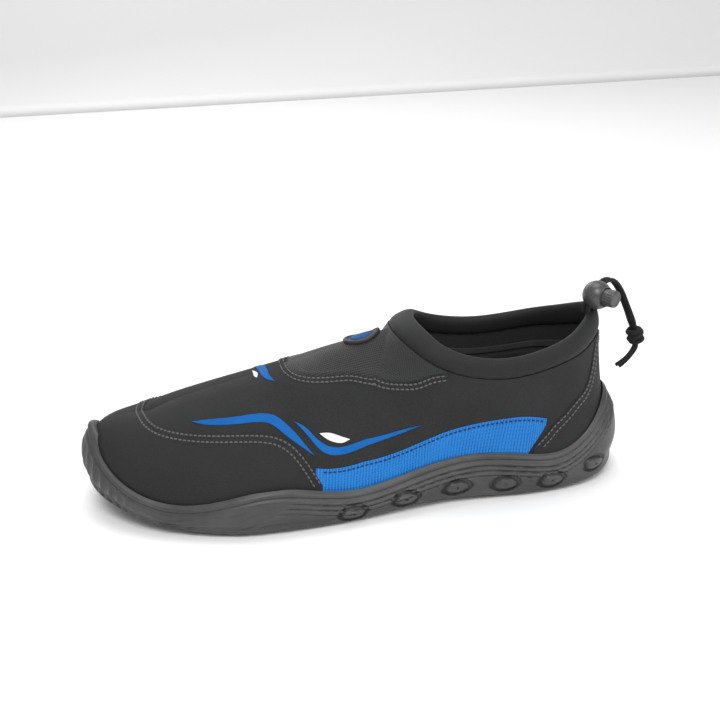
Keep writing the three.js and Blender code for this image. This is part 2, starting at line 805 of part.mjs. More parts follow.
function toeCap() {
  const from = CAP_TOP[0][0];
  return overlay(between(from, RING - from), lipShare, capTop, CAP_THICKNESS, 4);
}

function heelCounter() {
  const to = COUNTER_TOP[COUNTER_TOP.length - 1][0];
  return overlay(between(RING - to, RING + to), lipShare, counterTop, CAP_THICKNESS, 3);
}

function sidePanel(side) {
  const rows = between(PANEL_TOP[0][0], PANEL_TOP[PANEL_TOP.length - 1][0]);
  const around = side > 0 ? rows : rows.map((row) => RING - row).reverse();
  const low = (w) => Math.max(lipShare(w), rowOf(w) < PANEL_REAR[2][0] ? panelRear(w) : 0);
  return overlay(around, low, panelTop, PANEL_THICKNESS, 3);
}

// Ring coordinate and share of the place on the instep above plan point (x, y)
function ridgePlace(x, y) {
  let row = FRONT;
  while (ridgeX(row) < x) row += 0.05;
  const side = y >= ridgeY(row) ? 1 : -1;
  let v = 0.97;
  const at = (r, share) => skin(side > 0 ? r : RING - r, share);
  for (let i = 0; i < 12; i++) {
    const step = 0.001;
    const here = at(row, v);
    const alongRow = at(row + step, v).sub(here).divideScalar(step);
    const alongShare = here.clone().sub(at(row, v - step)).divideScalar(step);
    const missX = x - here.x;
    const missY = y - here.y;
    const det = alongRow.x * alongShare.y - alongRow.y * alongShare.x;
    row += (missX * alongShare.y - missY * alongShare.x) / det;
    v += (alongRow.x * missY - alongRow.y * missX) / det;
    row = THREE.MathUtils.clamp(row, FRONT + 0.05, TOE);
    v = THREE.MathUtils.clamp(v, 0.3, 1);
  }
  return [side > 0 ? row : RING - row, v];
}

const BADGE_PLACE = new THREE.Vector2(-0.021 * SHOE_LENGTH, -0.045 * HALF);

function badge() {
  const profile = [[0, 0], [0.55, 0], [1, 0], [1, 0.6], [0.92, 1], [0.78, 1], [0.72, 0.6], [0, 0.6]];
  const sides = 16;
  const rows = profile.map(([radius, height]) => {
    const row = [];
    for (let k = 0; k < sides; k++) {
      const turn = -2 * Math.PI * k / sides;
      const x = BADGE_PLACE.x + radius * Math.cos(turn) * BADGE_LENGTH / 2;
      const y = BADGE_PLACE.y + radius * Math.sin(turn) * BADGE_BREADTH / 2;
      const [w, v] = ridgePlace(x, y);
      row.push(skinOut(w, v, SEAT_GAP + height * BADGE_THICKNESS));
    }
    return row;
  });
  const faces = new Faces();
  for (let k = 1; k < rows.length; k++) faces.band(rows[k - 1], rows[k], true);
  return faces.geometry();
}

// Cord lock on the back of the collar: a ball with a push button across the cord
const LOCK_PLACE = new THREE.Vector3(-0.449 * SHOE_LENGTH, 0.146 * HALF, 1.082 * INSTEP_HEIGHT);
const BUTTON_WAY = new THREE.Vector3(-0.57, 0.82, 0).normalize();
const CORD_WAY = new THREE.Vector3(-0.66, -0.46, 0.595).normalize();
const BORE_CLEARANCE = 0.35;
const STRAND_APART = CORD_DIAMETER + 0.4;
const HOLE_PLAY = 0.9;

// A round bar along the button's way, from one distance past the lock's middle to another
function bar(from, to, radius) {
  const rod = new THREE.CylinderGeometry(radius, radius, to - from, 14);
  rod.translate(0, (from + to) / 2, 0);
  rod.applyQuaternion(new THREE.Quaternion().setFromUnitVectors(
    new THREE.Vector3(0, 1, 0),
    BUTTON_WAY,
  ));
  rod.translate(LOCK_PLACE.x, LOCK_PLACE.y, LOCK_PLACE.z);
  return rod;
}

// The hole that the two strands share, behind the button
function cordHole() {
  const breadth = CORD_DIAMETER + 2 * HOLE_PLAY;
  const box = new THREE.BoxGeometry(breadth + STRAND_APART, breadth, 2 * LOCK_DIAMETER);
  box.translate(-CORD_OFFSET, 0, 0);
  const across = CORD_WAY.clone().cross(BUTTON_WAY);
  box.applyMatrix4(new THREE.Matrix4().makeBasis(BUTTON_WAY, across, CORD_WAY));
  box.translate(LOCK_PLACE.x, LOCK_PLACE.y, LOCK_PLACE.z);
  return toSolid(box);
}

function lockBody() {
  const ball = new THREE.SphereGeometry(LOCK_DIAMETER / 2, 14, 9);
  ball.translate(LOCK_PLACE.x, LOCK_PLACE.y, LOCK_PLACE.z);
  const bore = bar(-CORD_OFFSET, LOCK_DIAMETER, BUTTON_DIAMETER / 2 + BORE_CLEARANCE);
  return toGeometry(toSolid(ball).subtract(toSolid(bore)).subtract(cordHole()));
}

function lockButton() {
  const inner = BUTTON_TRAVEL + CLEARANCE;
  return bar(inner, LOCK_DIAMETER / 2 + BUTTON_PROUD, BUTTON_DIAMETER / 2);
}

// Drawcord: route of the pair of strands from the collar through the lock to the knot,
// then of each loose end
const PAIR_ROUTE = [
  [-120.5, 9.3, 88.9],
  [-121.0, 8.9, 91.9],
  [-122.6, 7.6, 94.7],
  [-125.6, 5.5, 97.4],
  [-128.9, 3.2, 100.2],
  [-133.4, 0.0, 102.1],
  [-137.9, -3.2, 101.5],
  [-141.4, -5.1, 98.8],
  [-144.3, -5.4, 94.4],
  [-146.5, -4.6, 89.2],
  [-148.6, -3.3, 83.4],
  [-150.6, -1.8, 77.0],
];
const KNOT_PLACE = new THREE.Vector3(-152.4, -1.4, 70.4);
const KNOT_WAY = new THREE.Vector3(-0.25, 0, -1).normalize();
const END_ROUTES = {
  a: [[-151.6, -0.4, 64.0], [-149.0, 0.4, 60.4], [-145.4, 0.9, 57.4], [-141.6, 1.2, 55.2]],
  b: [[-153.8, -2.4, 63.8], [-151.8, -2.8, 59.4], [-148.6, -3.0, 55.6], [-145.0, -3.2, 52.4]],
};

const toPoints = (rows) => rows.map((row) => new THREE.Vector3(...row));

// One strand of the pair, which lie side by side along the button's way
function strand(side) {
  const apart = BUTTON_WAY.clone().multiplyScalar(side * STRAND_APART / 2);
  return cordTube(toPoints(PAIR_ROUTE).map((point) => point.add(apart)), 12);
}

function cordTube(points, count) {
  const section = new THREE.Shape(new THREE.EllipseCurve(
    0, 0, CORD_DIAMETER / 2, CORD_DIAMETER / 2,
  ).getPoints(CORD_SIDES).slice(0, -1));
  return new THREE.ExtrudeGeometry(section, {
    steps: count,
    extrudePath: new THREE.CatmullRomCurve3(points),
  });
}

function knot() {
  const profile = [[0, -1], [0.45, -0.96], [0.8, -0.62], [1, -0.1], [0.92, 0.35], [0.6, 0.8], [0, 1]];
  const half = KNOT_LENGTH / 2;
  const body = new THREE.LatheGeometry(
    profile.map(([r, h]) => new THREE.Vector2(r * KNOT_BREADTH / 2, h * half)),
    10,
  );
  body.applyQuaternion(new THREE.Quaternion().setFromUnitVectors(
    new THREE.Vector3(0, 1, 0),
    KNOT_WAY,
  ));
  body.translate(KNOT_PLACE.x, KNOT_PLACE.y, KNOT_PLACE.z);
  return toGeometry(toSolid(body));
}

const RUBBER = { color: 0x3d3d3f, roughness: 0.75, metalness: 0 };
const NEOPRENE = { color: 0x2b2b2d, roughness: 0.9, metalness: 0 };
const BLUE_MESH = { color: 0x1c66c4, roughness: 0.8, metalness: 0 };
const LYCRA = { color: 0x262628, roughness: 0.7, metalness: 0 };
const FOAM = { color: 0x333336, roughness: 0.95, metalness: 0 };
const PLASTIC = { color: 0x303032, roughness: 0.45, metalness: 0 };
const CORD = { color: 0x202022, roughness: 0.85, metalness: 0 };

const shoe = new THREE.Group();
function addPiece(name, geometry, look) {
  const mesh = new THREE.Mesh(geometry, new THREE.MeshStandardMaterial(look));
  mesh.name = name;
  shoe.add(mesh);
}

addPiece('outsole', outsole(), RUBBER);
addPiece('insole', insole(), FOAM);
addPiece('upper', upper(), NEOPRENE);
addPiece('collar_roll', collarRoll(), LYCRA);
addPiece('toe_cap', toeCap(), NEOPRENE);
addPiece('heel_counter', heelCounter(), NEOPRENE);
addPiece('side_panel_lateral', sidePanel(1), BLUE_MESH);
addPiece('side_panel_medial', sidePanel(-1), BLUE_MESH);
addPiece('instep_badge', badge(), PLASTIC);
addPiece('lock_body', lockBody(), PLASTIC);
addPiece('lock_button', lockButton(), PLASTIC);
addPiece('drawcord_a', strand(1), CORD);
addPiece('drawcord_b', strand(-1), CORD);
addPiece('drawcord_knot', knot(), CORD);
addPiece('drawcord_end_a', cordTube(toPoints(END_ROUTES.a), 6), CORD);
addPiece('drawcord_end_b', cordTube(toPoints(END_ROUTES.b), 7), CORD);

// The origin lies under the middle of the shoe, its loose drawcord left out
const loose = 'drawcord';
const bounds = new THREE.Box3();
for (const piece of shoe.children) {
  piece.geometry.computeBoundingBox();
  if (!piece.name.startsWith(loose)) bounds.union(piece.geometry.boundingBox);
}
const middle = bounds.getCenter(new THREE.Vector3());
for (const piece of shoe.children) piece.geometry.translate(-middle.x, -middle.y, -bounds.min.z);

export default shoe;
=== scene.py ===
"""A water shoe for the left foot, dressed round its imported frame.

Lengths are in millimetres until a mesh is made, w and v are the ring coordinate and the share up
the upper, and q is the turn round the plan.
"""
import math

import bmesh
import bpy
import numpy as np
from mathutils import Matrix, Vector
from mathutils.kdtree import KDTree


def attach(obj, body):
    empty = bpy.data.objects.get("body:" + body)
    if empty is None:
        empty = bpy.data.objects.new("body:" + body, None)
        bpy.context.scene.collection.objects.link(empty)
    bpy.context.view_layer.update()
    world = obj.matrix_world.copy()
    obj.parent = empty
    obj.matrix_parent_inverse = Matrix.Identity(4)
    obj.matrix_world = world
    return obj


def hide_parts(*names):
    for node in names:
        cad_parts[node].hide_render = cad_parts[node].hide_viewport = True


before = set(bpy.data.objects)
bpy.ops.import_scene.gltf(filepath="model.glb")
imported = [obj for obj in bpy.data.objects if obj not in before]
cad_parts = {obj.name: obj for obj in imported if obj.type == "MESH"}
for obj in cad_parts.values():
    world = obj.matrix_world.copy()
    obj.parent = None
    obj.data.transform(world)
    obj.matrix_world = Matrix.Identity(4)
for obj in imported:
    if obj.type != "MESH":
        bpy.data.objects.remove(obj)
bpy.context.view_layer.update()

MM = 0.001
# The frame's origin in the source's own coordinates
ORIGIN = np.array([0.477, -0.127, 0.0])

# Driving sizes, as in the source
SHOE_LENGTH = 283.0
BALL_WIDTH = 103.0
HALF = BALL_WIDTH / 2
INSTEP_HEIGHT = 90.0
CUP_HEIGHT = 47.0
TOE_SPRING, HEEL_LIFT, ARCH_LIFT = 12.0, 3.0, 2.0
HEEL_RUBBER, BALL_RUBBER = 11.0, 8.0
RIM_WALL, EDGE_ROUND = 3.6, 12.0
BEAD_PROUD = 1.0
UPPER_WALL, INSOLE_THICKNESS = 2.2, 3.2
ROLL_THICKNESS, CLEARANCE = 6.0, 0.3
GROOVE_WIDTH, GROOVE_DEPTH = 3.0, 2.0
SLOT_WIDTH, SLOT_DEPTH = 2.0, 1.5
RIB_PITCH, BAR_PITCH, BAR_SLANT = 6.8, 8.4, 6.0
POD_LENGTH, POD_BREADTH, POD_GROOVE, POD_DEPTH = 13.0, 8.0, 1.5, 1.3
SPRING_FROM, HEEL_TO, ARCH_FROM, ARCH_TO, RAMP_FROM, RAMP_TO = 0.70, 0.07, 0.24, 0.56, 0.25, 0.60

PLAN = [
    [0.00, 0.00, 0.000], [0.05, 0.00, 0.520], [0.13, 0.01, 0.672], [0.22, 0.03, 0.700],
    [0.32, 0.06, 0.672], [0.42, 0.09, 0.725], [0.54, 0.09, 0.845], [0.64, 0.05, 0.950],
    [0.72, 0.00, 1.000], [0.80, -0.05, 0.950], [0.88, -0.10, 0.820], [0.95, -0.14, 0.570],
    [1.00, -0.16, 0.000],
]
LIP = [
    [0.000, 1.00, 1.00, 0.66], [0.030, 0.88, 0.88, 0.50], [0.080, 0.65, 0.66, 0.30],
    [0.140, 0.49, 0.51, 0.18], [0.220, 0.53, 0.56, 0.16], [0.320, 0.57, 0.60, 0.16],
    [0.420, 0.48, 0.55, 0.16], [0.530, 0.39, 0.45, 0.16], [0.660, 0.51, 0.47, 0.16],
    [0.800, 0.38, 0.39, 0.16], [0.920, 0.47, 0.49, 0.18], [0.975, 0.72, 0.72, 0.36],
    [1.000, 0.98, 0.98, 0.56],
]
SIDE = [
    [0.00, 1.00, 0.00], [0.05, 0.50, 0.00], [0.19, 0.20, 0.00], [0.40, 0.03, 0.00],
    [0.58, 0.00, 0.05], [0.80, 0.00, 0.34], [1.00, 0.00, 1.00],
]
# The last rows here are fuller at the toe than in the solids, and RIDGE is lower, by 3.4 mm at most
WALLS = [
    [0.000, 0.40, -0.107, 0.12, 0.36], [0.050, 0.40, -0.050, 0.12, 0.36],
    [0.140, 0.40, 0.010, 0.08, 0.36], [0.260, 0.40, 0.020, 0.05, 0.36],
    [0.360, 0.38, 0.000, 0.10, 0.32], [0.440, 0.40, 0.000, 0.25, 0.22],
    [0.510, 0.42, 0.000, 0.38, 0.10], [0.590, 0.44, 0.000, 0.44, 0.03],
    [0.690, 0.50, 0.000, 0.50, 0.01], [0.790, 0.55, 0.000, 0.52, 0.01],
    [0.880, 0.56, 0.000, 0.54, 0.01], [0.950, 0.68, 0.000, 0.64, 0.02],
    [1.000, 0.86, 0.000, 0.77, 0.04],
]
COLLAR = [
    [-0.458, 0.000, 0.000, 0.867, -0.450, 0.000, 0.000, 1.011],
    [-0.423, 0.369, -0.369, 0.822, -0.414, 0.330, -0.330, 0.956],
    [-0.361, 0.602, -0.592, 0.783, -0.354, 0.563, -0.553, 0.900],
    [-0.261, 0.700, -0.670, 0.744, -0.257, 0.670, -0.640, 0.861],
    [-0.157, 0.660, -0.640, 0.800, -0.168, 0.602, -0.583, 0.911],
    [-0.095, 0.437, -0.466, 0.906, -0.129, 0.350, -0.379, 0.983],
    [-0.071, -0.019, -0.019, 0.956, -0.116, -0.019, -0.019, 1.011],
]
RIDGE = [
    [-0.071, -0.019, 0.956], [0.014, -0.058, 0.878], [0.129, -0.097, 0.772],
    [0.229, -0.136, 0.685], [0.307, -0.165, 0.615], [0.354, -0.175, 0.560],
    [0.371, -0.175, 0.540],
]
GROOVES = {
    "inner": [[0.04, -0.22], [0.20, -0.165], [0.37, -0.08], [0.52, -0.14],
              [0.66, -0.39], [0.79, -0.55], [0.92, -0.38], [0.985, -0.42]],
    "middle": [[0.05, 0.02], [0.13, 0.13], [0.24, 0.165], [0.42, 0.09], [0.50, 0.05],
               [0.60, -0.05], [0.70, -0.08], [0.82, -0.01], [0.90, -0.04], [0.99, -0.16]],
    "outer": [[0.05, 0.27], [0.12, 0.36], [0.25, 0.42], [0.38, 0.37], [0.50, 0.44],
              [0.56, 0.53], [0.65, 0.60], [0.75, 0.57], [0.86, 0.39], [0.92, 0.22], [0.98, 0.17]],
}
PODS = [
    [0.900, -0.600], [0.795, -0.695], [0.682, -0.660], [0.583, -0.447], [0.485, -0.280],
    [0.379, -0.258], [0.281, -0.340], [0.171, -0.353], [0.880, 0.470], [0.785, 0.660],
    [0.700, 0.775], [0.610, 0.790], [0.520, 0.690], [0.420, 0.590], [0.310, 0.560],
    [0.210, 0.570], [0.110, 0.500],
]
SIDE_PODS = [
    [0.065, 0.080], [0.155, 0.180], [0.245, 0.270], [0.335, 0.364], [0.431, 0.476],
    [0.530, 0.572],
]
SIDE_POD_HEIGHT = 0.36
FRONT, TOE = len(COLLAR) - 1, len(WALLS) - 1
RING = 2 * TOE


def smooth(edge0, edge1, x):
    t = np.clip((x - edge0) / (edge1 - edge0), 0, 1)
    return t * t * (3 - 2 * t)


def bell(x, width):
    return np.exp(-(x / width) ** 2)


def halved(low, high, below):
    """The place between low and high where `below` stops being true."""
    for _ in range(26):
        middle = (low + high) / 2
        under = below(middle)
        low, high = np.where(under, middle, low), np.where(under, high, middle)
    return (low + high) / 2


# The source's shape functions
class Spline:
    """A natural cubic spline."""

    def __init__(self, xs, ys):
        self.x, self.y = np.asarray(xs, float), np.asarray(ys, float)
        h = np.diff(self.x)
        n = len(self.x)
        a, r = np.eye(n), np.zeros(n)
        for i in range(1, n - 1):
            a[i, i - 1:i + 2] = h[i - 1], 2 * (h[i - 1] + h[i]), h[i]
            r[i] = 6 * ((self.y[i + 1] - self.y[i]) / h[i] - (self.y[i] - self.y[i - 1]) / h[i - 1])
        self.m = np.linalg.solve(a, r)

    def __call__(self, q):
        q = np.asarray(q, float)
        i = np.clip(np.searchsorted(self.x, q) - 1, 0, len(self.x) - 2)
        h = self.x[i + 1] - self.x[i]
        a, b = self.x[i + 1] - q, q - self.x[i]
        m, y = self.m, self.y
        return ((m[i] * a ** 3 + m[i + 1] * b ** 3) / (6 * h)
                + (y[i] / h - m[i] * h / 6) * a + (y[i + 1] / h - m[i + 1] * h / 6) * b)


def ring_spline(values, gain=0.0):
    n = len(values)
    xs = list(range(-3, n + 4))
    curve = Spline(xs, [values[(i + n) % n] + gain * math.floor(i / n) for i in xs])

    def at(x):
        turns = np.floor(np.asarray(x, float) / n)
        return curve(x - turns * n) + gain * turns
    return at


def level_ends(xs, ys):
    first, last = xs[0], xs[-1]
    return Spline([2 * first - xs[2], 2 * first - xs[1], *xs, 2 * last - xs[-2], 2 * last - xs[-3]],
                  [ys[2], ys[1], *ys, ys[-2], ys[-3]])


def column(rows, k, scale=1.0):
    return [row[k] * scale for row in rows]


def both_sides(lateral, medial=None):
    medial = lateral if medial is None else medial
    return [*lateral, *medial[1:-1][::-1]]


def angle_of(station):
    return np.arccos(1 - 2 * np.asarray(station, float)) / math.pi


def station_of(angle):
    return (1 - np.cos(math.pi * angle)) / 2


plan_angles = angle_of(column(PLAN, 0))
centre = Spline(plan_angles, column(PLAN, 1, HALF))
half_breadth = Spline(plan_angles, column(PLAN, 2, HALF))
lip_angles = angle_of(column(LIP, 0))
lip_lateral = level_ends(lip_angles, column(LIP, 1, CUP_HEIGHT))
lip_medial = level_ends(lip_angles, column(LIP, 2, CUP_HEIGHT))
lip_lean = level_ends(lip_angles, column(LIP, 3, EDGE_ROUND))


def fold(q):
    turn = np.mod(q, 2)
    return np.where(turn <= 1, turn, 2 - turn), np.where(turn <= 1, 1.0, -1.0)


def stack(x, y, z):
    return np.stack(np.broadcast_arrays(x, y, z), axis=-1).astype(float)


def unit(v):
    return v / np.maximum(np.linalg.norm(v, axis=-1, keepdims=True), 1e-12)


def plan_point(q):
    angle, side = fold(q)
    return stack(SHOE_LENGTH * (station_of(angle) - 0.5), centre(angle) + side * half_breadth(angle), 0.0)


def plan_normal(q):
    way = unit(plan_point(q + 0.002) - plan_point(q - 0.002))
    return stack(-way[..., 1], way[..., 0], 0.0)


def outline(q, inset):
    return plan_point(q) - plan_normal(q) * np.asarray(inset, float)[..., None]


def lip_height(q):
    angle, side = fold(q)
    return np.where(side > 0, lip_lateral(angle), lip_medial(angle))


def ground(x):
    s = np.clip(np.asarray(x, float) / SHOE_LENGTH + 0.5, 0, 1)
    toe = np.maximum(0, (s - SPRING_FROM) / (1 - SPRING_FROM))
    heel = np.maximum(0, 1 - s / HEEL_TO)
    arch = np.clip((s - ARCH_FROM) / (ARCH_TO - ARCH_FROM), 0, 1)
    return TOE_SPRING * toe ** 2 + HEEL_LIFT * heel ** 2 + ARCH_LIFT * np.sin(math.pi * arch) ** 2


def cup_floor(x):
    ramp = smooth(RAMP_FROM, RAMP_TO, np.asarray(x, float) / SHOE_LENGTH + 0.5)
    return ground(x) + HEEL_RUBBER + (BALL_RUBBER - HEEL_RUBBER) * ramp


wall_angles = angle_of(column(WALLS, 0))
turn_at = ring_spline(both_sides(wall_angles, 2 - wall_angles), 2.0)
rise_at = ring_spline(both_sides(column(WALLS, 1)))
bulge_at = ring_spline(both_sides(column(WALLS, 2, HALF)))
reach_at = ring_spline(both_sides(column(WALLS, 3)))
drop_at = ring_spline(both_sides(column(WALLS, 4)))


def row_of(w):
    w = np.mod(w, RING)
    return np.where(w <= TOE, w, RING - w)


def collar_line(first):
    x = ring_spline(both_sides(column(COLLAR, first, SHOE_LENGTH)))
    y = ring_spline(both_sides(column(COLLAR, first + 1, HALF), column(COLLAR, first + 2, HALF)))
    z = ring_spline(both_sides(column(COLLAR, first + 3, INSTEP_HEIGHT)))

    def at(w):
        k = np.where(np.mod(w, RING) <= TOE, row_of(w), 2 * FRONT - row_of(w))
        return stack(x(k), y(k), z(k))
    return at


edge_line, roll_line = collar_line(0), collar_line(4)
ridge_rows = [FRONT + i for i in range(len(RIDGE))]
ridge = [Spline(ridge_rows, column(RIDGE, k, s)) for k, s in enumerate((SHOE_LENGTH, HALF, INSTEP_HEIGHT))]


def top_line(w):
    row = row_of(w)
    on_ridge = stack(*(curve(np.maximum(row, FRONT)) for curve in ridge))
    return np.where((row < FRONT)[..., None], edge_line(np.where(row < FRONT, w, 0.0)), on_ridge)


def skin(w, v):
    """Outer face of the upper at ring coordinate w and share v up its meridian."""
    w, v = np.broadcast_arrays(np.asarray(w, float), np.asarray(v, float))
    q = turn_at(w)
    foot = outline(q, RIM_WALL)
    foot[..., 2] = cup_floor(foot[..., 0]) + CLEARANCE
    head = top_line(w)
    height = head[..., 2] - foot[..., 2]
    wall = foot + plan_normal(q) * bulge_at(w)[..., None]
    wall[..., 2] += height * rise_at(w)
    shoulder = head.copy()
    shoulder[..., 0] += (foot[..., 0] - head[..., 0]) * reach_at(w)
    shoulder[..., 1] += (foot[..., 1] - head[..., 1]) * reach_at(w)
    shoulder[..., 2] -= height * drop_at(w)
    v = v[..., None]
    t = 1 - v
    return foot * t ** 3 + wall * 3 * t * t * v + shoulder * 3 * t * v * v + head * v ** 3


def slope(w, v):
    step = 0.01
    along = skin(w + step, v) - skin(w - step, v)
    up = skin(w, np.minimum(1, v + step)) - skin(w, np.maximum(0, v - step))
    return unit(np.cross(up, along))


def normal(w, v):
    """Outward normal of the upper; on the ridge both sides share one."""
    w, v = np.broadcast_arrays(np.asarray(w, float), np.asarray(v, float))
    own = slope(w, v)
    near = smooth(0.9, 1.0, v) * smooth(FRONT - 0.3, FRONT, row_of(w))
    other = slope(RING - np.mod(w, RING), np.ones_like(v))
    top = unit(slope(w, np.ones_like(v)) + other)
    return unit(own * (1 - near[..., None]) + top * near[..., None])


def skin_out(w, v, out):
    return skin(w, v) + normal(w, v) * np.asarray(out, float)[..., None]


def share_at(w, z):
    """Share at which the upper's face reaches a height."""
    return halved(np.zeros_like(w), np.ones_like(w), lambda v: skin(w, v)[..., 2] < z)


def ring_at(station, side):
    """Ring coordinate of a station on one side of the plan."""
    low, high = (0, TOE) if side > 0 else (TOE, RING)
    goal = angle_of(station) if side > 0 else 2 - angle_of(station)
    return halved(low, high, lambda w: turn_at(w) < goal)


def ridge_place(x, y):
    """Ring coordinate and share of the places on the instep above plan points (x, y)."""
    rows = np.linspace(FRONT, TOE, 400)
    row = np.interp(x, ridge[0](rows), rows)
    lateral = y >= ridge[1](row)
    v = np.full(x.shape, 0.97)
    step = 0.001

    def place(r, share):
        return skin(np.where(lateral, r, RING - r), share)
    for _ in range(12):
        here = place(row, v)
        by_row = (place(row + step, v) - here) / step
        by_share = (here - place(row, v - step)) / step
        miss_x, miss_y = x - here[..., 0], y - here[..., 1]
        det = by_row[..., 0] * by_share[..., 1] - by_row[..., 1] * by_share[..., 0]
        row = row + (miss_x * by_share[..., 1] - miss_y * by_share[..., 0]) / det
        v = v + (by_row[..., 0] * miss_y - by_row[..., 1] * miss_x) / det
        row, v = np.clip(row, FRONT + 0.05, TOE), np.clip(v, 0.3, 1.0)
    return np.where(lateral, row, RING - row), v


side_edge = Spline(column(SIDE, 0), column(SIDE, 1, EDGE_ROUND))
side_lean = Spline(column(SIDE, 0), column(SIDE, 2))


def sole_point(w, t, out=0.0):
    """Side of the sole at share t from the tread's edge to the lip, pushed out by `out`."""
    q = turn_at(w)
    inset = side_edge(t) + side_lean(t) * lip_lean(fold(q)[0])
    point = outline(q, inset - out)
    low = ground(point[..., 0])
    point[..., 2] = low + (lip_height(q) - low) * t
    return point


# Meshes
def make(name, points, faces, uv=None, material=None, body="shoe", slot=None, replaces=(), sharp=35.0):
    """A mesh piece from points in millimetres."""
    mesh = bpy.data.meshes.new(name)
    mesh.from_pydata(((points - ORIGIN) * MM).tolist(), [], [list(map(int, face)) for face in faces])
    if uv is not None:
        layer = mesh.uv_layers.new(name="UVMap")
        layer.data.foreach_set("uv", np.asarray(uv, np.float32).reshape(-1))
    mesh.polygons.foreach_set("use_smooth", np.ones(len(mesh.polygons), bool))
    mesh.validate()
    mesh.update()
    if sharp:
        mesh.set_sharp_from_angle(angle=math.radians(sharp))
    piece = bpy.data.objects.new(name, mesh)
    bpy.context.scene.collection.objects.link(piece)
    if material:
        mesh.materials.append(material)
    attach(piece, body)
    if replaces:
        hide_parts(*replaces)
    return piece


def weld(piece, distance):
    """Joins points that coincide, such as those along the ridge."""
    work = bmesh.new()
    work.from_mesh(piece.data)
    bmesh.ops.remove_doubles(work, verts=work.verts, dist=distance)
    work.to_mesh(piece.data)
    work.free()


def grid(rows, cols, closed_cols=False, closed_rows=False):
    """Quads of a grid of points, facing out where rows rise and columns run from heel to toe."""
    ks = np.arange(rows if closed_rows else rows - 1)
    js = np.arange(cols if closed_cols else cols - 1)
    k, j = np.meshgrid(ks, js, indexing="ij")
    k2, j2 = (k + 1) % rows, (j + 1) % cols
    quads = np.stack([k * cols + j, k2 * cols + j, k2 * cols + j2, k * cols + j2], -1)
    return quads.reshape(-1, 4), (k, j)


def grid_uv(kj, across, along):
    """Corner UVs of a grid's quads from the places of its columns and rows, in millimetres."""
    k, j = kj
    u = np.stack([along[j], along[j], along[j + 1], along[j + 1]], -1)
    v = np.stack([across[k], across[k + 1], across[k + 1], across[k]], -1)
    return np.stack([u, v], -1).reshape(-1, 4, 2)


def run_lengths(points):
    """Distance run along a line of points."""
    return np.concatenate([[0], np.cumsum(np.linalg.norm(np.diff(points, axis=0), axis=1))])


def ring_run(points):
    """The same along a closed line, back to its first point."""
    return run_lengths(np.vstack([points, points[:1]]))


def skin_run(line):
    """The same over the skin, along a line of (w, v)."""
    return run_lengths(skin(line[:, 0], line[:, 1]))


def sampled(places, run, line):
    """A line read at places of its run."""
    return np.stack([np.interp(places, run, values) for values in line.T], -1)


def evened(line, run, count):
    """The line in even steps of its run."""
    return sampled(np.linspace(0, run[-1], count), run, line)


def splined(points, run, count):
    """The smooth line through points, in even steps of their run."""
    fine = np.linspace(0, run[-1], count)
    return np.stack([Spline(run, values)(fine) for values in np.transpose(points)], -1)


def through(points, count):
    """A smooth line through points, in even steps."""
    line = splined(points, run_lengths(points), 20 * len(points))
    return evened(line, run_lengths(line), count)


# Millimetres that w and v span on the skin, about
SKIN_SPANS = np.array([22.0, 80.0])


def curve_through(rows, count):
    """A smooth line through (w, v) rows, in even steps over the skin."""
    line = splined(rows, run_lengths(rows * SKIN_SPANS), 400)
    return evened(line, skin_run(line), count)


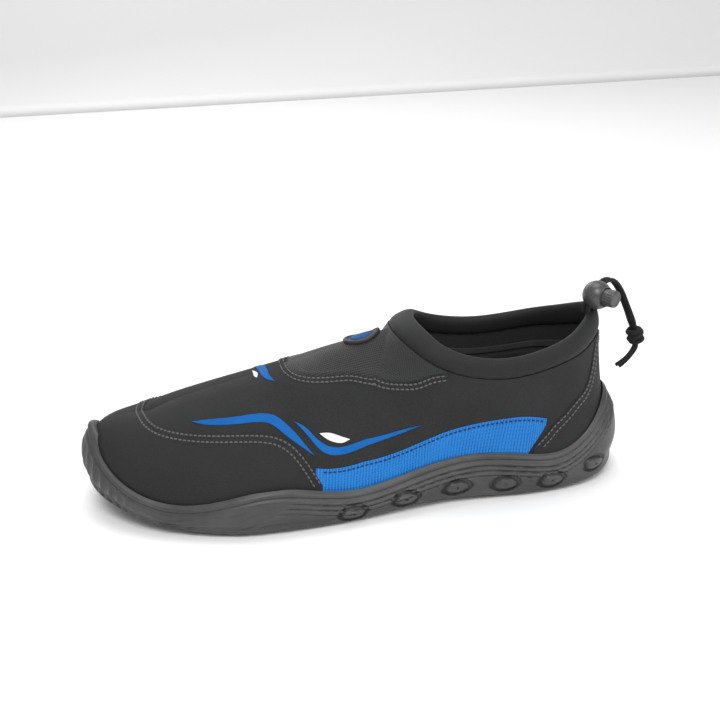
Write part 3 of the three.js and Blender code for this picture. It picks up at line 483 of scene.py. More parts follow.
# Materials
class Look:
    """A procedural material in the making."""

    def __init__(self, name, colour, roughness, sheen=0.0, coat=0.0, specular=0.2):
        self.material = bpy.data.materials.new(name)
        self.material.use_nodes = True
        self.nodes = self.material.node_tree.nodes
        self.link = self.material.node_tree.links.new
        self.surface = self.nodes["Principled BSDF"].inputs
        values = {"Base Color": (*colour, 1), "Roughness": roughness, "Specular IOR Level": specular,
                  "Sheen Weight": sheen, "Sheen Roughness": 0.5, "Coat Weight": coat, "Coat Roughness": 0.35}
        for key, value in values.items():
            self.surface[key].default_value = value
        self.place = self.nodes.new("ShaderNodeTexCoord").outputs["Object"]

    def uv(self, across, along, turn=0.0):
        """The UVs in millimetres, scaled and turned."""
        source = self.nodes.new("ShaderNodeUVMap")
        source.uv_map = "UVMap"
        node = self.nodes.new("ShaderNodeMapping")
        node.inputs["Scale"].default_value = (across, along, 1)
        node.inputs["Rotation"].default_value = (0, 0, turn)
        self.link(source.outputs["UV"], node.inputs["Vector"])
        return node.outputs["Vector"]

    def texture(self, kind, vector, output, **values):
        node = self.nodes.new(f"ShaderNodeTex{kind}")
        for key, value in values.items():
            node.inputs[key.replace("_", " ")].default_value = value
        self.link(vector, node.inputs["Vector"])
        return node.outputs[output]

    def noise(self, scale, detail, **values):
        return self.texture("Noise", self.place, "Fac", Scale=scale, Detail=detail, **values)

    def holes(self, across, along, randomness):
        """Dots or holes in rows, as the distance from the middle of the nearest."""
        return self.texture("Voronoi", self.uv(across, along), "Distance", Scale=1.0, Randomness=randomness)

    def maths(self, operation, *values):
        node = self.nodes.new("ShaderNodeMath")
        node.operation = operation
        for socket, value in zip(node.inputs, values):
            if isinstance(value, (int, float)):
                socket.default_value = value
            else:
                self.link(value, socket)
        return node.outputs[0]

    def total(self, start, *terms):
        """A number plus each term's socket times its factor."""
        for socket, factor in terms:
            start = self.maths("MULTIPLY_ADD", socket, factor, start)
        return start

    def colour(self, factor, low, dark, high, light):
        """The base colour: dark up to `low` of the factor, light from `high` on."""
        node = self.nodes.new("ShaderNodeValToRGB")
        for element, place, colour in zip(node.color_ramp.elements, (low, high), (dark, light)):
            element.position, element.color = place, (*colour, 1)
        self.link(factor, node.inputs["Fac"])
        self.link(node.outputs["Color"], self.surface["Base Color"])

    def bump(self, height, distance, strength=1.0):
        """Bumps some millimetres high, over those already there."""
        node = self.nodes.new("ShaderNodeBump")
        node.inputs["Strength"].default_value = strength
        node.inputs["Distance"].default_value = distance * MM
        self.link(height, node.inputs["Height"])
        for under in self.surface["Normal"].links:
            self.link(under.from_socket, node.inputs["Normal"])
        self.link(node.outputs["Normal"], self.surface["Normal"])


def cloth(name, dark, light, pitch, depth, roughness, sheen, blotch=0.25):
    """Knitted or woven cloth: fine dots, soft blotches and fuzz."""
    look = Look(name, light, roughness, sheen)
    dots = look.holes(1 / pitch, 1 / (pitch * 0.8), 0.35)
    fuzz, wide = look.noise(1400.0, 3.0), look.noise(45.0, 4.0)
    tone = look.total(0.45 - blotch, (wide, blotch * 2), (fuzz, 0.5), (dots, -0.45))
    look.colour(tone, 0.15, dark, 0.85, light)
    look.bump(look.total(0.0, (fuzz, 0.5), (dots, -1.0)), depth)
    return look.material


def rubber(name, dark, light, roughness=0.6, specular=0.45):
    """Moulded rubber: fine satin grain, faint cloudy bloom and scuffs."""
    look = Look(name, light, roughness, specular=specular)
    grain, cloud = look.noise(2200.0, 2.0), look.noise(30.0, 5.0, Distortion=0.4)
    scuff = look.noise(160.0, 6.0, Roughness=0.7)
    look.colour(look.total(-0.15, (cloud, 0.8), (scuff, 0.5)), 0.25, dark, 0.8, light)
    look.link(look.total(roughness - 0.12, (scuff, 0.25)), look.surface["Roughness"])
    look.bump(grain, 0.06)
    look.bump(scuff, 0.10, 0.6)
    return look.material


def mesh_cloth(name, dark, light, pitch):
    """Open knit mesh: staggered holes with lighter threads between them."""
    look = Look(name, light, 0.7, 0.2)
    thread = look.maths("SMOOTH_MIN", look.holes(1 / pitch, 1 / (pitch * 1.25), 0.08), 0.55, 0.1)
    look.colour(look.total(-0.35, (thread, 1.4), (look.noise(60.0, 3.0), 0.5)), 0.05, dark, 0.62, light)
    look.bump(thread, 0.35)
    return look.material


def ribbed_cloth(name, dark, light, pitch):
    """Warp-knit mesh: upright ribs crossed by fine rows of small holes."""
    look = Look(name, light, 0.65, 0.05)
    rib = look.texture("Wave", look.uv(math.pi / 10 / pitch, 0.02), "Fac", Scale=1.0, Distortion=0.8,
                       Detail_Scale=2.0)
    knit = look.total(0.0, (rib, 0.5), (look.holes(2 / pitch, 1.1 / pitch, 0.15), 0.7))
    look.colour(look.total(-0.15, (knit, 1.0), (look.noise(90.0, 4.0), 0.5)), 0.12, dark, 0.62, light)
    look.bump(knit, 0.4)
    return look.material


def braid(name, dark, light, pitch):
    """Braided cord: strands that cross."""
    look = Look(name, light, 0.75, 0.03)
    waves = [look.texture("Wave", look.uv(1 / pitch, 1 / pitch, way * math.radians(38)), "Fac", Scale=1.0)
             for way in (1, -1)]
    height = look.maths("MAXIMUM", *waves)
    look.colour(height, 0.2, dark, 0.9, light)
    look.bump(height, 0.15)
    return look.material


def plastic(name, colour, roughness):
    look = Look(name, colour, roughness, coat=0.15, specular=0.45)
    grain = look.noise(900.0, 3.0)
    look.colour(grain, 0.2, [c * 0.75 for c in colour], 0.8, [c * 1.3 for c in colour])
    look.bump(grain, 0.04)
    return look.material


def grey(value, tint=0.0):
    return (value, value * (1 + tint * 0.5), value * (1 + tint))


NEOPRENE = cloth("neoprene_knit", grey(0.012, 0.04), grey(0.028, 0.04), 0.75, 0.10, 0.85, 0.04)
SYNTHETIC = cloth("synthetic_overlay", grey(0.012, 0.04), grey(0.025, 0.04), 0.55, 0.06, 0.75, 0.03, 0.15)
INSERT = mesh_cloth("instep_mesh", grey(0.006, 0.05), grey(0.030, 0.05), 1.1)
BINDING = cloth("collar_binding", grey(0.008, 0.05), grey(0.020, 0.05), 0.5, 0.05, 0.65, 0.05, 0.15)
LINING = cloth("lining_knit", grey(0.012, 0.05), grey(0.028, 0.05), 0.9, 0.12, 0.9, 0.05)
TAPE = cloth("lining_tape", grey(0.020, 0.05), grey(0.046, 0.05), 0.6, 0.08, 0.8, 0.05)
FOOTBED = cloth("footbed_cloth", grey(0.012, 0.05), grey(0.030, 0.05), 0.8, 0.10, 0.9, 0.05)
RUBBER = rubber("sole_rubber", grey(0.021, 0.02), grey(0.062, 0.02), 0.44, 0.5)
TREAD = rubber("tread_rubber", grey(0.026, 0.02), grey(0.064, 0.02), 0.52)
BLUE_MESH = ribbed_cloth("blue_mesh", (0.003, 0.048, 0.20), (0.011, 0.175, 0.53), 1.6)
BLUE_PRINT = rubber("blue_print", (0.003, 0.080, 0.30), (0.008, 0.122, 0.40), 0.6, 0.1)
BLUE_CORE = rubber("badge_core", (0.004, 0.045, 0.15), (0.016, 0.110, 0.30), 0.5, 0.1)
WHITE_PRINT = rubber("white_print", (0.60, 0.61, 0.62), (0.78, 0.78, 0.78), 0.6, 0.1)
THREAD = cloth("thread", grey(0.060, 0.03), grey(0.140, 0.03), 0.4, 0.05, 0.7, 0.1)
DARK_THREAD = cloth("dark_thread", (0.003, 0.018, 0.07), (0.008, 0.040, 0.14), 0.4, 0.05, 0.7, 0.1)
BADGE = rubber("badge_rubber", grey(0.014, 0.03), grey(0.034, 0.03), 0.45, 0.3)
CORD = braid("braided_cord", grey(0.003), grey(0.016), 0.45)
LOCK = plastic("lock_plastic", grey(0.048), 0.34)

# Camera
CAMERA_AZIMUTH, CAMERA_ELEVATION, CAMERA_ROLL = 8.486, 23.699, -1.904
CAMERA_DISTANCE = 675.213
TARGET = np.array([0.0, 0.0, 35.0])
LENS, SENSOR = 64.35, 36.0
SHIFT = (0.0083, 0.0879)


def make_camera():
    a, e, r = (math.radians(x) for x in (CAMERA_AZIMUTH, CAMERA_ELEVATION, CAMERA_ROLL))
    back = Vector((math.sin(a) * math.cos(e), math.cos(a) * math.cos(e), math.sin(e)))
    right = Vector((-math.cos(a), math.sin(a), 0))
    up = back.cross(right)
    turned = right * math.cos(r) + up * math.sin(r)
    raised = up * math.cos(r) - right * math.sin(r)
    data = bpy.data.cameras.new("camera")
    data.lens, data.sensor_width, data.sensor_fit = LENS, SENSOR, "HORIZONTAL"
    data.shift_x, data.shift_y = SHIFT
    data.clip_start, data.clip_end = 0.05, 20
    camera = bpy.data.objects.new("camera", data)
    bpy.context.scene.collection.objects.link(camera)
    eye = (Vector(TARGET - ORIGIN) + back * CAMERA_DISTANCE) * MM
    turn = Matrix((turned, raised, back)).transposed().to_4x4()
    camera.matrix_world = Matrix.Translation(eye) @ turn
    bpy.context.scene.camera = camera


make_camera()

# Cord lock and drawcord
LOCK_DIAMETER, BUTTON_DIAMETER, BUTTON_TRAVEL, BUTTON_PROUD = 15.0, 9.0, 3.0, 4.4
CORD_OFFSET, CORD_DIAMETER, STRAND_APART, BORE_CLEARANCE = 2.5, 2.2, 2.6, 0.35
KNOT_LENGTH, KNOT_BREADTH = 12.0, 8.5
LOCK_PLACE = np.array([-0.449 * SHOE_LENGTH, 0.146 * HALF, 1.082 * INSTEP_HEIGHT])
BUTTON_WAY = unit(np.array([-0.57, 0.82, 0.0]))
PAIR_ROUTE = [
    [-120.5, 9.3, 88.9], [-121.0, 8.9, 91.9], [-122.6, 7.6, 94.7], [-125.6, 5.5, 97.4],
    [-128.9, 3.2, 100.2], [-133.4, 0.0, 102.1], [-137.9, -3.2, 101.5], [-141.4, -5.1, 98.8],
    [-144.3, -5.4, 94.4], [-146.5, -4.6, 89.2], [-148.6, -3.3, 83.4], [-150.6, -1.8, 77.0],
]
KNOT_PLACE = np.array([-152.4, -1.4, 70.4])
KNOT_WAY = unit(np.array([-0.25, 0.0, -1.0]))
END_ROUTES = {
    1: [[-151.6, -0.4, 64.0], [-149.0, 0.4, 60.4], [-145.4, 0.9, 57.4], [-141.6, 1.2, 55.2]],
    -1: [[-153.8, -2.4, 63.8], [-151.8, -2.8, 59.4], [-148.6, -3.0, 55.6], [-145.0, -3.2, 52.4]],
}
CORD_SIDES, KNOT_TURNS, KNOT_CORD_RADIUS = 12, 3.5, 1.5


def tube(name, line, radii, replaces):
    """A piece of cord along a line, its ends closed."""
    way = unit(np.gradient(line, axis=0))
    side = unit(np.cross(way[0], [0.3, 0.9, 0.2]))
    frames = []
    for step in way:
        side = unit(side - step * (side @ step))
        frames.append((side, np.cross(step, side)))
    angles = np.linspace(0, 2 * math.pi, CORD_SIDES, endpoint=False)
    rows = [[p + r * (math.cos(t) * a + math.sin(t) * b) for t in angles]
            for p, r, (a, b) in zip(line, radii, frames)]
    quads, kj = grid(len(line), CORD_SIDES, closed_cols=True)
    around = np.arange(CORD_SIDES + 1) * 2 * math.pi * np.mean(radii) / CORD_SIDES
    uv = grid_uv(kj, run_lengths(line), around)[:, ::-1, ::-1].reshape(-1, 2)
    end = (len(line) - 1) * CORD_SIDES
    tip = len(line) * CORD_SIDES
    faces = quads[:, ::-1].tolist()
    faces += [[tip, (j + 1) % CORD_SIDES, j] for j in range(CORD_SIDES)]
    faces += [[end + j, end + (j + 1) % CORD_SIDES, tip + 1] for j in range(CORD_SIDES)]
    return make(name, np.vstack([*rows, line[0], line[-1]]), faces, material=CORD, slot="cord",
                uv=np.vstack([uv, np.zeros((6 * CORD_SIDES, 2))]), replaces=replaces, sharp=0)


def knot_piece():
    """The knot that both strands are tied in: cord wound along and round its middle."""
    across = unit(np.cross(KNOT_WAY, [0.0, 1.0, 0.0]))
    other = np.cross(KNOT_WAY, across)
    t = np.linspace(0, 1, 120)
    angle = 2 * math.pi * KNOT_TURNS * t
    swell = np.sqrt(np.clip(1 - (1.7 * (t - 0.5)) ** 2, 0.02, 1))
    radius = (KNOT_BREADTH / 2 - 0.9) * swell
    along = (t - 0.5) * (KNOT_LENGTH - 3.0) + 0.9 * np.sin(angle * 0.5 + 0.6)
    line = (KNOT_PLACE + np.outer(along, KNOT_WAY) + np.outer(radius * np.cos(angle), across)
            + np.outer(radius * np.sin(angle), other))
    return tube("drawcord_knot_tied", line, np.full(len(line), KNOT_CORD_RADIUS), ["drawcord_knot"])


def strand_piece(side, tag):
    apart = BUTTON_WAY * side * STRAND_APART / 2
    pair = np.array(PAIR_ROUTE) + apart
    inside = [KNOT_PLACE - KNOT_WAY * 3 + apart * 0.5, KNOT_PLACE + KNOT_WAY * 2 + apart * 0.4]
    line = through([*pair, *inside, *END_ROUTES[side]], 90)
    radii = np.full(len(line), CORD_DIAMETER / 2)
    radii[-1] *= 0.85
    piece = tube(f"drawcord_strand_{tag}", line, radii, [f"drawcord_{tag}", f"drawcord_end_{tag}"])


knot = knot_piece()
strand_piece(1, "a")
strand_piece(-1, "b")


def lathe(name, profile, sides, flutes=0, **more):
    """A piece of the lock, turned about the button's way from rows of (distance along it, radius).

    A row may end with the share of its radius that the flutes cut away.
    """
    a = unit(np.cross(BUTTON_WAY, [0.0, 0.0, 1.0]))
    b = np.cross(BUTTON_WAY, a)
    angles = np.linspace(0, 2 * math.pi, sides, endpoint=False)
    ways = np.cos(angles)[:, None] * a + np.sin(angles)[:, None] * b
    rows = []
    for along, radius, *share in profile:
        wave = 1 - (share[0] if share else 0) * (0.5 + 0.5 * np.cos(flutes * angles))
        rows.append(LOCK_PLACE + BUTTON_WAY * along + (radius * wave)[:, None] * ways)
    quads, _ = grid(len(rows), sides, closed_cols=True)
    return make(name, np.vstack(rows), quads, material=LOCK, slot="lock_plastic", **more)


def lock_pieces():
    half = LOCK_DIAMETER / 2
    bore = BUTTON_DIAMETER / 2 + BORE_CLEARANCE
    rim = math.asin(bore / half)
    lip = half * math.cos(rim)
    profile = [(half * math.cos(t), half * math.sin(t)) for t in np.linspace(math.pi - 0.001, rim + 0.09, 36)]
    profile += [(lip + 0.12, bore + 0.45), (lip + 0.10, bore + 0.12), (lip - 0.25, bore),
                (-CORD_OFFSET, bore), (-CORD_OFFSET, 0.01)]
    lathe("lock_ball", profile, 72, replaces=["lock_body"])
    radius, low, high = BUTTON_DIAMETER / 2, BUTTON_TRAVEL + CLEARANCE, half + BUTTON_PROUD
    profile = [(low, 0.01), (low, radius - 0.3), (low + 0.3, radius), (half + 0.6, radius),
               (half + 1.0, radius, 0.07), (high - 0.8, radius, 0.07), (high - 0.25, radius - 0.25, 0.03),
               (high, radius - 0.8), (high, radius - 1.3), (high - 0.35, radius - 1.7), (high - 0.35, 0.01)]
    lathe("push_button", profile, 96, flutes=20, body="button", replaces=["lock_button"])


lock_pieces()

# Outsole
SIDE_POD_LENGTH, SIDE_POD_BREADTH, SIDE_POD_GROOVE = 17.0, 10.4, 1.4
SIDE_POD_DEPTH, SIDE_POD_DOME, DOT_DEPTH, POD_CROWN = 1.5, 1.2, 0.9, 0.5
BEAD_MIDDLE, BEAD_HALF, SEAM_MIDDLE, SEAM_HALF, SEAM_DEPTH = 1.2, 1.4, 3.2, 0.7, 0.6
RIDGES_FROM, RIDGES_TO, RIDGE_PITCH, RIDGE_PROUD, RIDGE_SINK = 3.8, 11.8, 2.7, 0.6, 1.2
WAVE_PITCH, WAVE_SWING, WAVE_PROUD = 3.6, 1.6, 0.22
TOE_RIB_STEP, TOE_RIB_PROUD, TOE_RIB_SINK = 0.19, 1.1, 0.8
LIP_BREADTH, LIP_CLEAR, LIP_DROP = 3.8, 1.5, 6.0
LIP_ROWS = ((0.12, 0.45), (0.4, 0.7), (0.7, 0.45), (0.92, 0.0), (1.0, -0.8))
CUP_CLEAR, HEM, HEM_RISE = 0.45, 0.8, 0.3
POD_REACH, RIBS_FROM, RIBS_TO = 0.12, 0.08, 0.95
# Fades along the foot, up the side and below the lip
HEELWARD, TOEWARD, WAVES_END, WAVES_BELOW = (0.52, 0.66), (0.80, 0.86), (0.76, 0.82), (5.0, 7.0)
RIDGES_RISE, TOE_RIBS_RISE, TOE_RIBS_FALL = (0.13, 0.22), (0.14, 0.22), (0.74, 0.82)
TREAD_RISE, TREAD_FALL = (0.035, 0.05), (0.975, 0.99)


def within(x, rise, fall):
    """1 between two fades, 0 outside them."""
    return smooth(*rise, x) * (1 - smooth(*fall, x))


def oval(a, b, length, breadth):
    """How far out (a, b) lies in an oval, 1 on its edge, and how many millimetres past that edge."""
    far = np.hypot(a / (length / 2), b / (breadth / 2))
    return far, breadth / 2 * (far - 1)


def side_pod_relief(a, b):
    """Height of a side pod's relief at (a, b) millimetres from its middle."""
    far, edge = oval(a, b, SIDE_POD_LENGTH, SIDE_POD_BREADTH)
    ring = within(edge, (-SIDE_POD_GROOVE - 0.35, -SIDE_POD_GROOVE + 0.15), (-0.25, 0.25))
    dome = np.clip(1 - (far / (1 - 2 * SIDE_POD_GROOVE / SIDE_POD_BREADTH)) ** 2, 0, 1) ** 0.45
    dot = 1 - smooth(0.55, 0.95, np.hypot(a, b))
    return SIDE_POD_DOME * dome - SIDE_POD_DEPTH * ring - DOT_DEPTH * dot


def side_pod_frame(station, side):
    """Middle, long way and upward way of a pod on the sole's side."""
    w, t, step = ring_at(station, side), SIDE_POD_HEIGHT, 0.1
    along = unit(sole_point(w + step, t) - sole_point(w - step, t))
    up = unit(sole_point(w, t + step) - sole_point(w, t - step))
    return sole_point(w, t), along, up


SIDE_POD_FRAMES = [side_pod_frame(station, side) for row in SIDE_PODS for station, side in zip(row, (1, -1))]


def side_relief(points, w, t):
    """How far the sole's side stands out from its plain shape: bead, seam, ridges, toe ribs and pods."""
    q = turn_at(w)
    angle = fold(q)[0]
    heelward, toeward = 1 - smooth(*HEELWARD, angle), smooth(*TOEWARD, angle)
    below = (1 - t) * (lip_height(q) - ground(plan_point(q)[..., 0]))
    out = BEAD_PROUD * np.sqrt(np.clip(1 - ((below - BEAD_MIDDLE) / BEAD_HALF) ** 2, 0, 1))
    out = out - SEAM_DEPTH * bell(below - SEAM_MIDDLE, SEAM_HALF)
    ridges = 2 * np.abs(np.sin(math.pi * (below - RIDGES_FROM) / RIDGE_PITCH)) - RIDGE_SINK
    among = within(below, (RIDGES_FROM, RIDGES_FROM + 0.6), (RIDGES_TO, RIDGES_TO + 0.6))
    out = out + RIDGE_PROUD * ridges * among * smooth(*RIDGES_RISE, t) * heelward
    waves = np.cos(2 * math.pi * (below + WAVE_SWING * np.sin(w * 5)) / WAVE_PITCH)
    ahead = (1 - heelward) * (1 - smooth(*WAVES_END, angle)) * smooth(*WAVES_BELOW, below)
    out = out + WAVE_PROUD * waves * ahead
    ribs = (0.5 + 0.5 * np.cos(2 * math.pi * (w - TOE) / TOE_RIB_STEP)) ** 2
    out = out + (TOE_RIB_PROUD * ribs - TOE_RIB_SINK) * toeward * within(t, TOE_RIBS_RISE, TOE_RIBS_FALL)
    for middle, along, up in SIDE_POD_FRAMES:
        away = points - middle
        near = np.linalg.norm(away, axis=-1) < SIDE_POD_LENGTH
        out = out + np.where(near, side_pod_relief(away @ along, away @ up), 0)
    return out


def near_share(w):
    """Share up the upper's face, at most, that the sole's lip reaches in to."""
    rim = sole_point(w, 1.0)

    def covered(v):
        place = skin(w, v)
        near = np.linalg.norm((place - rim)[:, :2], axis=1) < LIP_BREADTH
        return near | (place[:, 2] < rim[:, 2] - LIP_DROP)
    return halved(np.zeros_like(w), np.ones_like(w), covered)


def groove_line(rows):
    y = Spline(column(rows, 0, SHOE_LENGTH), column(rows, 1, HALF))
    return lambda x: y(x + SHOE_LENGTH / 2)


def cut(distance, width, depth):
    """Depth of a slot at a distance from its middle."""
    return depth * (1 - smooth(width / 2 - 0.35, width / 2 + 0.25, np.abs(distance)))


def groove_depth(x, y):
    """How far grooves, ribs and bars cut up into the tread at plan point (x, y)."""
    start, end = (SHOE_LENGTH * (station - 0.5) for station in (RIBS_FROM, RIBS_TO))
    ribbed = (x > start - 2) & (x < end + 1)
    inside = within(x / SHOE_LENGTH + 0.5, TREAD_RISE, TREAD_FALL)
    span = np.linspace(-130, 130, 200)
    depth, lines = np.zeros_like(x), {}
    for name, rows in GROOVES.items():
        line = groove_line(rows)
        lines[name] = line(x)
        lean = np.cos(np.arctan(np.gradient(line(span), span).mean()))
        depth = np.maximum(depth, cut((y - lines[name]) * lean, GROOVE_WIDTH, GROOVE_DEPTH) * inside)
    inner, middle, outer = lines["inner"], lines["middle"], lines["outer"]
    slanted = x - BAR_SLANT * (y - middle) / np.maximum(outer - middle, 1)
    for low, high, along, pitch in ((inner, middle, x, RIB_PITCH), (middle, outer, slanted, BAR_PITCH)):
        phase = np.mod(along - start + pitch / 2, pitch) - pitch / 2
        between = (y > low) & (y < high) & ribbed
        depth = np.maximum(depth, np.where(between, cut(phase, SLOT_WIDTH, SLOT_DEPTH), 0))
    return depth


def with_pods(x, y, depth):
    """The depth with each pod's ring, crown and dot in place of what is there."""
    for share, side in PODS:
        a, b = x - SHOE_LENGTH * (share - 0.5), y - side * HALF
        far, edge = oval(a, b, POD_LENGTH, POD_BREADTH)
        ring = POD_DEPTH * within(edge, (-POD_GROOVE - 0.3, -POD_GROOVE + 0.3), (-0.3, 0.2))
        crown = POD_CROWN * np.clip(far / 0.62, 0, 1) ** 2.5 * (far < 0.64)
        dot = DOT_DEPTH * (1 - smooth(0.5, 0.9, np.hypot(a, b)))
        depth = np.where(far < 1.05, np.maximum.reduce([ring, dot, crown]), depth)
    return depth


def pods_rise(points):
    """How far the pods alone cut up at the tread's edge."""
    return with_pods(points[:, 0], points[:, 1], np.zeros(len(points)))


def sole_side():
    """The sole's side, its lip, and the inside of the cup."""
    columns = 1100
    w = np.linspace(0, RING, columns, endpoint=False)
    q = turn_at(w)
    # the first row lies behind the tread's edge, so no crack shows between the two
    hem = outline(q, EDGE_ROUND + HEM)
    hem[:, 2] = ground(hem[:, 0]) + pods_rise(hem) + HEM_RISE
    rows = [hem]
    for t in [*np.linspace(0, 0.06, 14)[:-1], *np.linspace(0.06, 1, 56)]:
        plain = sole_point(w, t)
        point = sole_point(w, t, side_relief(plain, w, t))
        if t < POD_REACH:
            point[:, 2] += pods_rise(plain)
        rows.append(point)
    rim = sole_point(w, 1.0)
    seat = np.minimum(share_at(w, lip_height(q)), near_share(w))
    top = skin_out(w, seat, LIP_CLEAR)
    rows += [rim * (1 - share) + top * share + [0, 0, lift] for share, lift in LIP_ROWS]
    rows.append(skin_out(w, np.maximum(seat - 0.035, 0), LIP_CLEAR))
    rows += [skin_out(w, seat * share, CUP_CLEAR) for share in (0.7, 0.35, 0.0)]
    inner = rows[-1]
    inner[:, 2] = cup_floor(inner[:, 0])
    rows.append(stack(inner[:, 0], centre(fold(q)[0]), inner[:, 2]))
    quads, kj = grid(len(rows), columns, closed_cols=True)
    up = run_lengths(np.array(rows)[:, 0])
    return make("outsole_side", np.vstack(rows), quads, uv=grid_uv(kj, up, ring_run(plan_point(q))),
                material=RUBBER, slot="sole_rubber", replaces=["outsole"])


def sole_tread():
    stations, columns = 560, 168
    even = np.linspace(0, 1, stations)
    angle = 0.5 * even + 0.5 * angle_of(even)
    lateral, medial = outline(angle, EDGE_ROUND), outline(2 - angle, EDGE_ROUND)
    share = np.linspace(0, 1, columns)[:, None, None]
    plan = medial * (1 - share) + lateral * share
    fade = 1.0
    for edge in (lateral, medial):
        fade = fade * smooth(0, 1.2, np.linalg.norm(plan - edge, axis=-1))
    x, y = plan[..., 0], plan[..., 1]
    plan[..., 2] = ground(x) + with_pods(x, y, groove_depth(x, y) * fade)
    quads, kj = grid(columns, stations)
    across = np.linspace(0, 80, columns)
    return make("outsole_tread", plan.reshape(-1, 3), quads, uv=grid_uv(kj, across, lateral[:, 0]),
                material=TREAD, slot="sole_rubber", replaces=["outsole"])


sole_side()
sole_tread()


# Insole
def insole_piece():
    columns = 320
    q = turn_at(np.linspace(0, RING, columns, endpoint=False))
    top = CLEARANCE + INSOLE_THICKNESS
    profile = [(6, CLEARANCE), (0, CLEARANCE), (-0.3, 1.4), (-0.1, top - 0.9), (0.5, top - 0.25), (1.6, top)]
    rows = []
    for inset, height in profile:
        point = outline(q, RIM_WALL + UPPER_WALL + 3 * CLEARANCE + inset)
        point[:, 2] = cup_floor(point[:, 0]) + height
        rows.append(point)
    edge = rows[-1]
    middle = stack(edge[:, 0] * 0.985, centre(fold(q)[0]), edge[:, 2])
    for share in np.linspace(0.1, 1, 14):
        point = edge * (1 - share) + middle * share
        dip = 0.8 * math.sin(math.pi * share / 2) * smooth(0.0, 0.3, share)
        point[:, 2] = cup_floor(point[:, 0]) + top - dip
        rows.append(point)
    quads, kj = grid(len(rows), columns, closed_cols=True)
    up = run_lengths(np.array(rows)[:, 40])
    return make("footbed", np.vstack(rows), quads, uv=grid_uv(kj, up, ring_run(edge)),
                material=FOOTBED, slot="footbed_foam", replaces=["insole"])


insole_piece()

# Upper
# The cap's edge follows the photo and lies up to 5.5 mm behind the one in the solids
CAP_TOP = [
    [6.93, 0.150], [7.28, 0.297], [7.70, 0.422], [8.10, 0.476], [8.73, 0.512], [9.34, 0.548],
    [9.92, 0.607], [10.3, 0.668], [10.62, 0.745], [11.0, 0.850], [12.0, 0.960],
]
COUNTER_TOP = [
    [0.00, 0.960], [0.70, 0.950], [0.95, 0.800], [1.25, 0.680], [1.67, 0.595],
    [1.96, 0.506], [2.16, 0.434], [2.33, 0.336], [2.46, 0.270],
]
PANEL_TOP = [
    [2.28, 0.530], [2.60, 0.590], [3.16, 0.601], [3.72, 0.520], [4.41, 0.369],
    [5.24, 0.256], [6.20, 0.222], [6.95, 0.235], [7.10, 0.245],
]
PANEL_REAR = [[2.28, 0.470], [2.38, 0.371], [2.55, 0.200]]
INSERT_EDGE = [
    [7.90, 0.985], [7.76, 0.864], [7.58, 0.791], [7.04, 0.712], [6.61, 0.684], [6.13, 0.639],
    [5.60, 0.644], [5.16, 0.696], [4.77, 0.774], [4.39, 0.904], [4.07, 0.985],
]
FRONT_WAVE = (
    [[9.44, 0.650], [9.20, 0.645], [8.96, 0.636], [8.55, 0.621], [8.15, 0.605], [8.00, 0.589],
     [7.85, 0.559], [7.69, 0.508], [7.48, 0.435], [7.32, 0.374], [7.12, 0.306]],
    [[9.44, 0.650], [9.16, 0.608], [8.86, 0.585], [8.53, 0.570], [8.13, 0.551], [7.99, 0.534],
     [7.86, 0.503], [7.71, 0.456], [7.53, 0.404], [7.33, 0.354], [7.12, 0.306]],
)
REAR_WAVE = (
    [[7.55, 0.505], [7.34, 0.459], [7.17, 0.405], [6.97, 0.356], [6.77, 0.329], [6.54, 0.321],
     [6.23, 0.326], [5.71, 0.344], [5.16, 0.391], [4.54, 0.474]],
    [[7.55, 0.505], [7.37, 0.444], [7.20, 0.384], [7.03, 0.331], [6.82, 0.296], [6.56, 0.284],
     [6.29, 0.288], [5.88, 0.305], [5.42, 0.340], [4.98, 0.393], [4.54, 0.474]],
)
LEAF = (
    [[7.07, 0.411], [6.90, 0.404], [6.69, 0.381], [6.41, 0.350]],
    [[7.07, 0.411], [6.94, 0.380], [6.73, 0.350], [6.55, 0.341], [6.41, 0.350]],
)
SIDES = ((1, "lateral"), (-1, "medial"))
UPPER_LIFT = 0.25
SEAM_SINK, SEAM_BREADTH, WELT_PROUD, WELT_BESIDE, WELT_BREADTH = 0.45, 0.7, 0.35, 2.0, 1.1
CREASE_HEIGHT, SWELL, FOLD_DEPTH = 0.28, 0.22, 0.7
FOLDS_RISE, FOLDS_FALL, FOLDS_END = (0.42, 0.55), (0.74, 0.79), (4.6, 5.6)
COVER_LIFT, COVER_THICKNESS, COVER_TUCK, COVER_RIPPLE = 0.1, 0.8, 1.5, 0.10
PANEL_LIFT, PANEL_THICKNESS, PRINT_LIFT, PRINT_THICKNESS = 0.15, 0.55, 0.02, 0.28
CAP_FROM, COUNTER_TO = CAP_TOP[0][0], COUNTER_TOP[-1][0]
# The panel runs 3 mm further forward than in the solids, under the cap
PANEL_FROM, PANEL_TO = PANEL_TOP[0][0], 7.08


def edge_share(rows):
    share = Spline(column(rows, 0), column(rows, 1))
    return lambda w: share(np.clip(row_of(w), rows[0][0], rows[-1][0]))


cap_top, counter_top, panel_top, panel_rear, insert_edge = map(
    edge_share, (CAP_TOP, COUNTER_TOP, PANEL_TOP, PANEL_REAR, INSERT_EDGE[::-1]))


def mirrored(rows, side):
    return np.array(rows if side > 0 else [[RING - w, v] for w, v in rows])


def distances(points, lines):
    """How far each point lies from the nearest point of the lines."""
    marks = np.vstack(lines)
    tree = KDTree(len(marks))
    for i, mark in enumerate(marks):
        tree.insert(mark, i)
    tree.balance()
    return np.array([tree.find(p)[2] for p in points.reshape(-1, 3)]).reshape(points.shape[:-1])


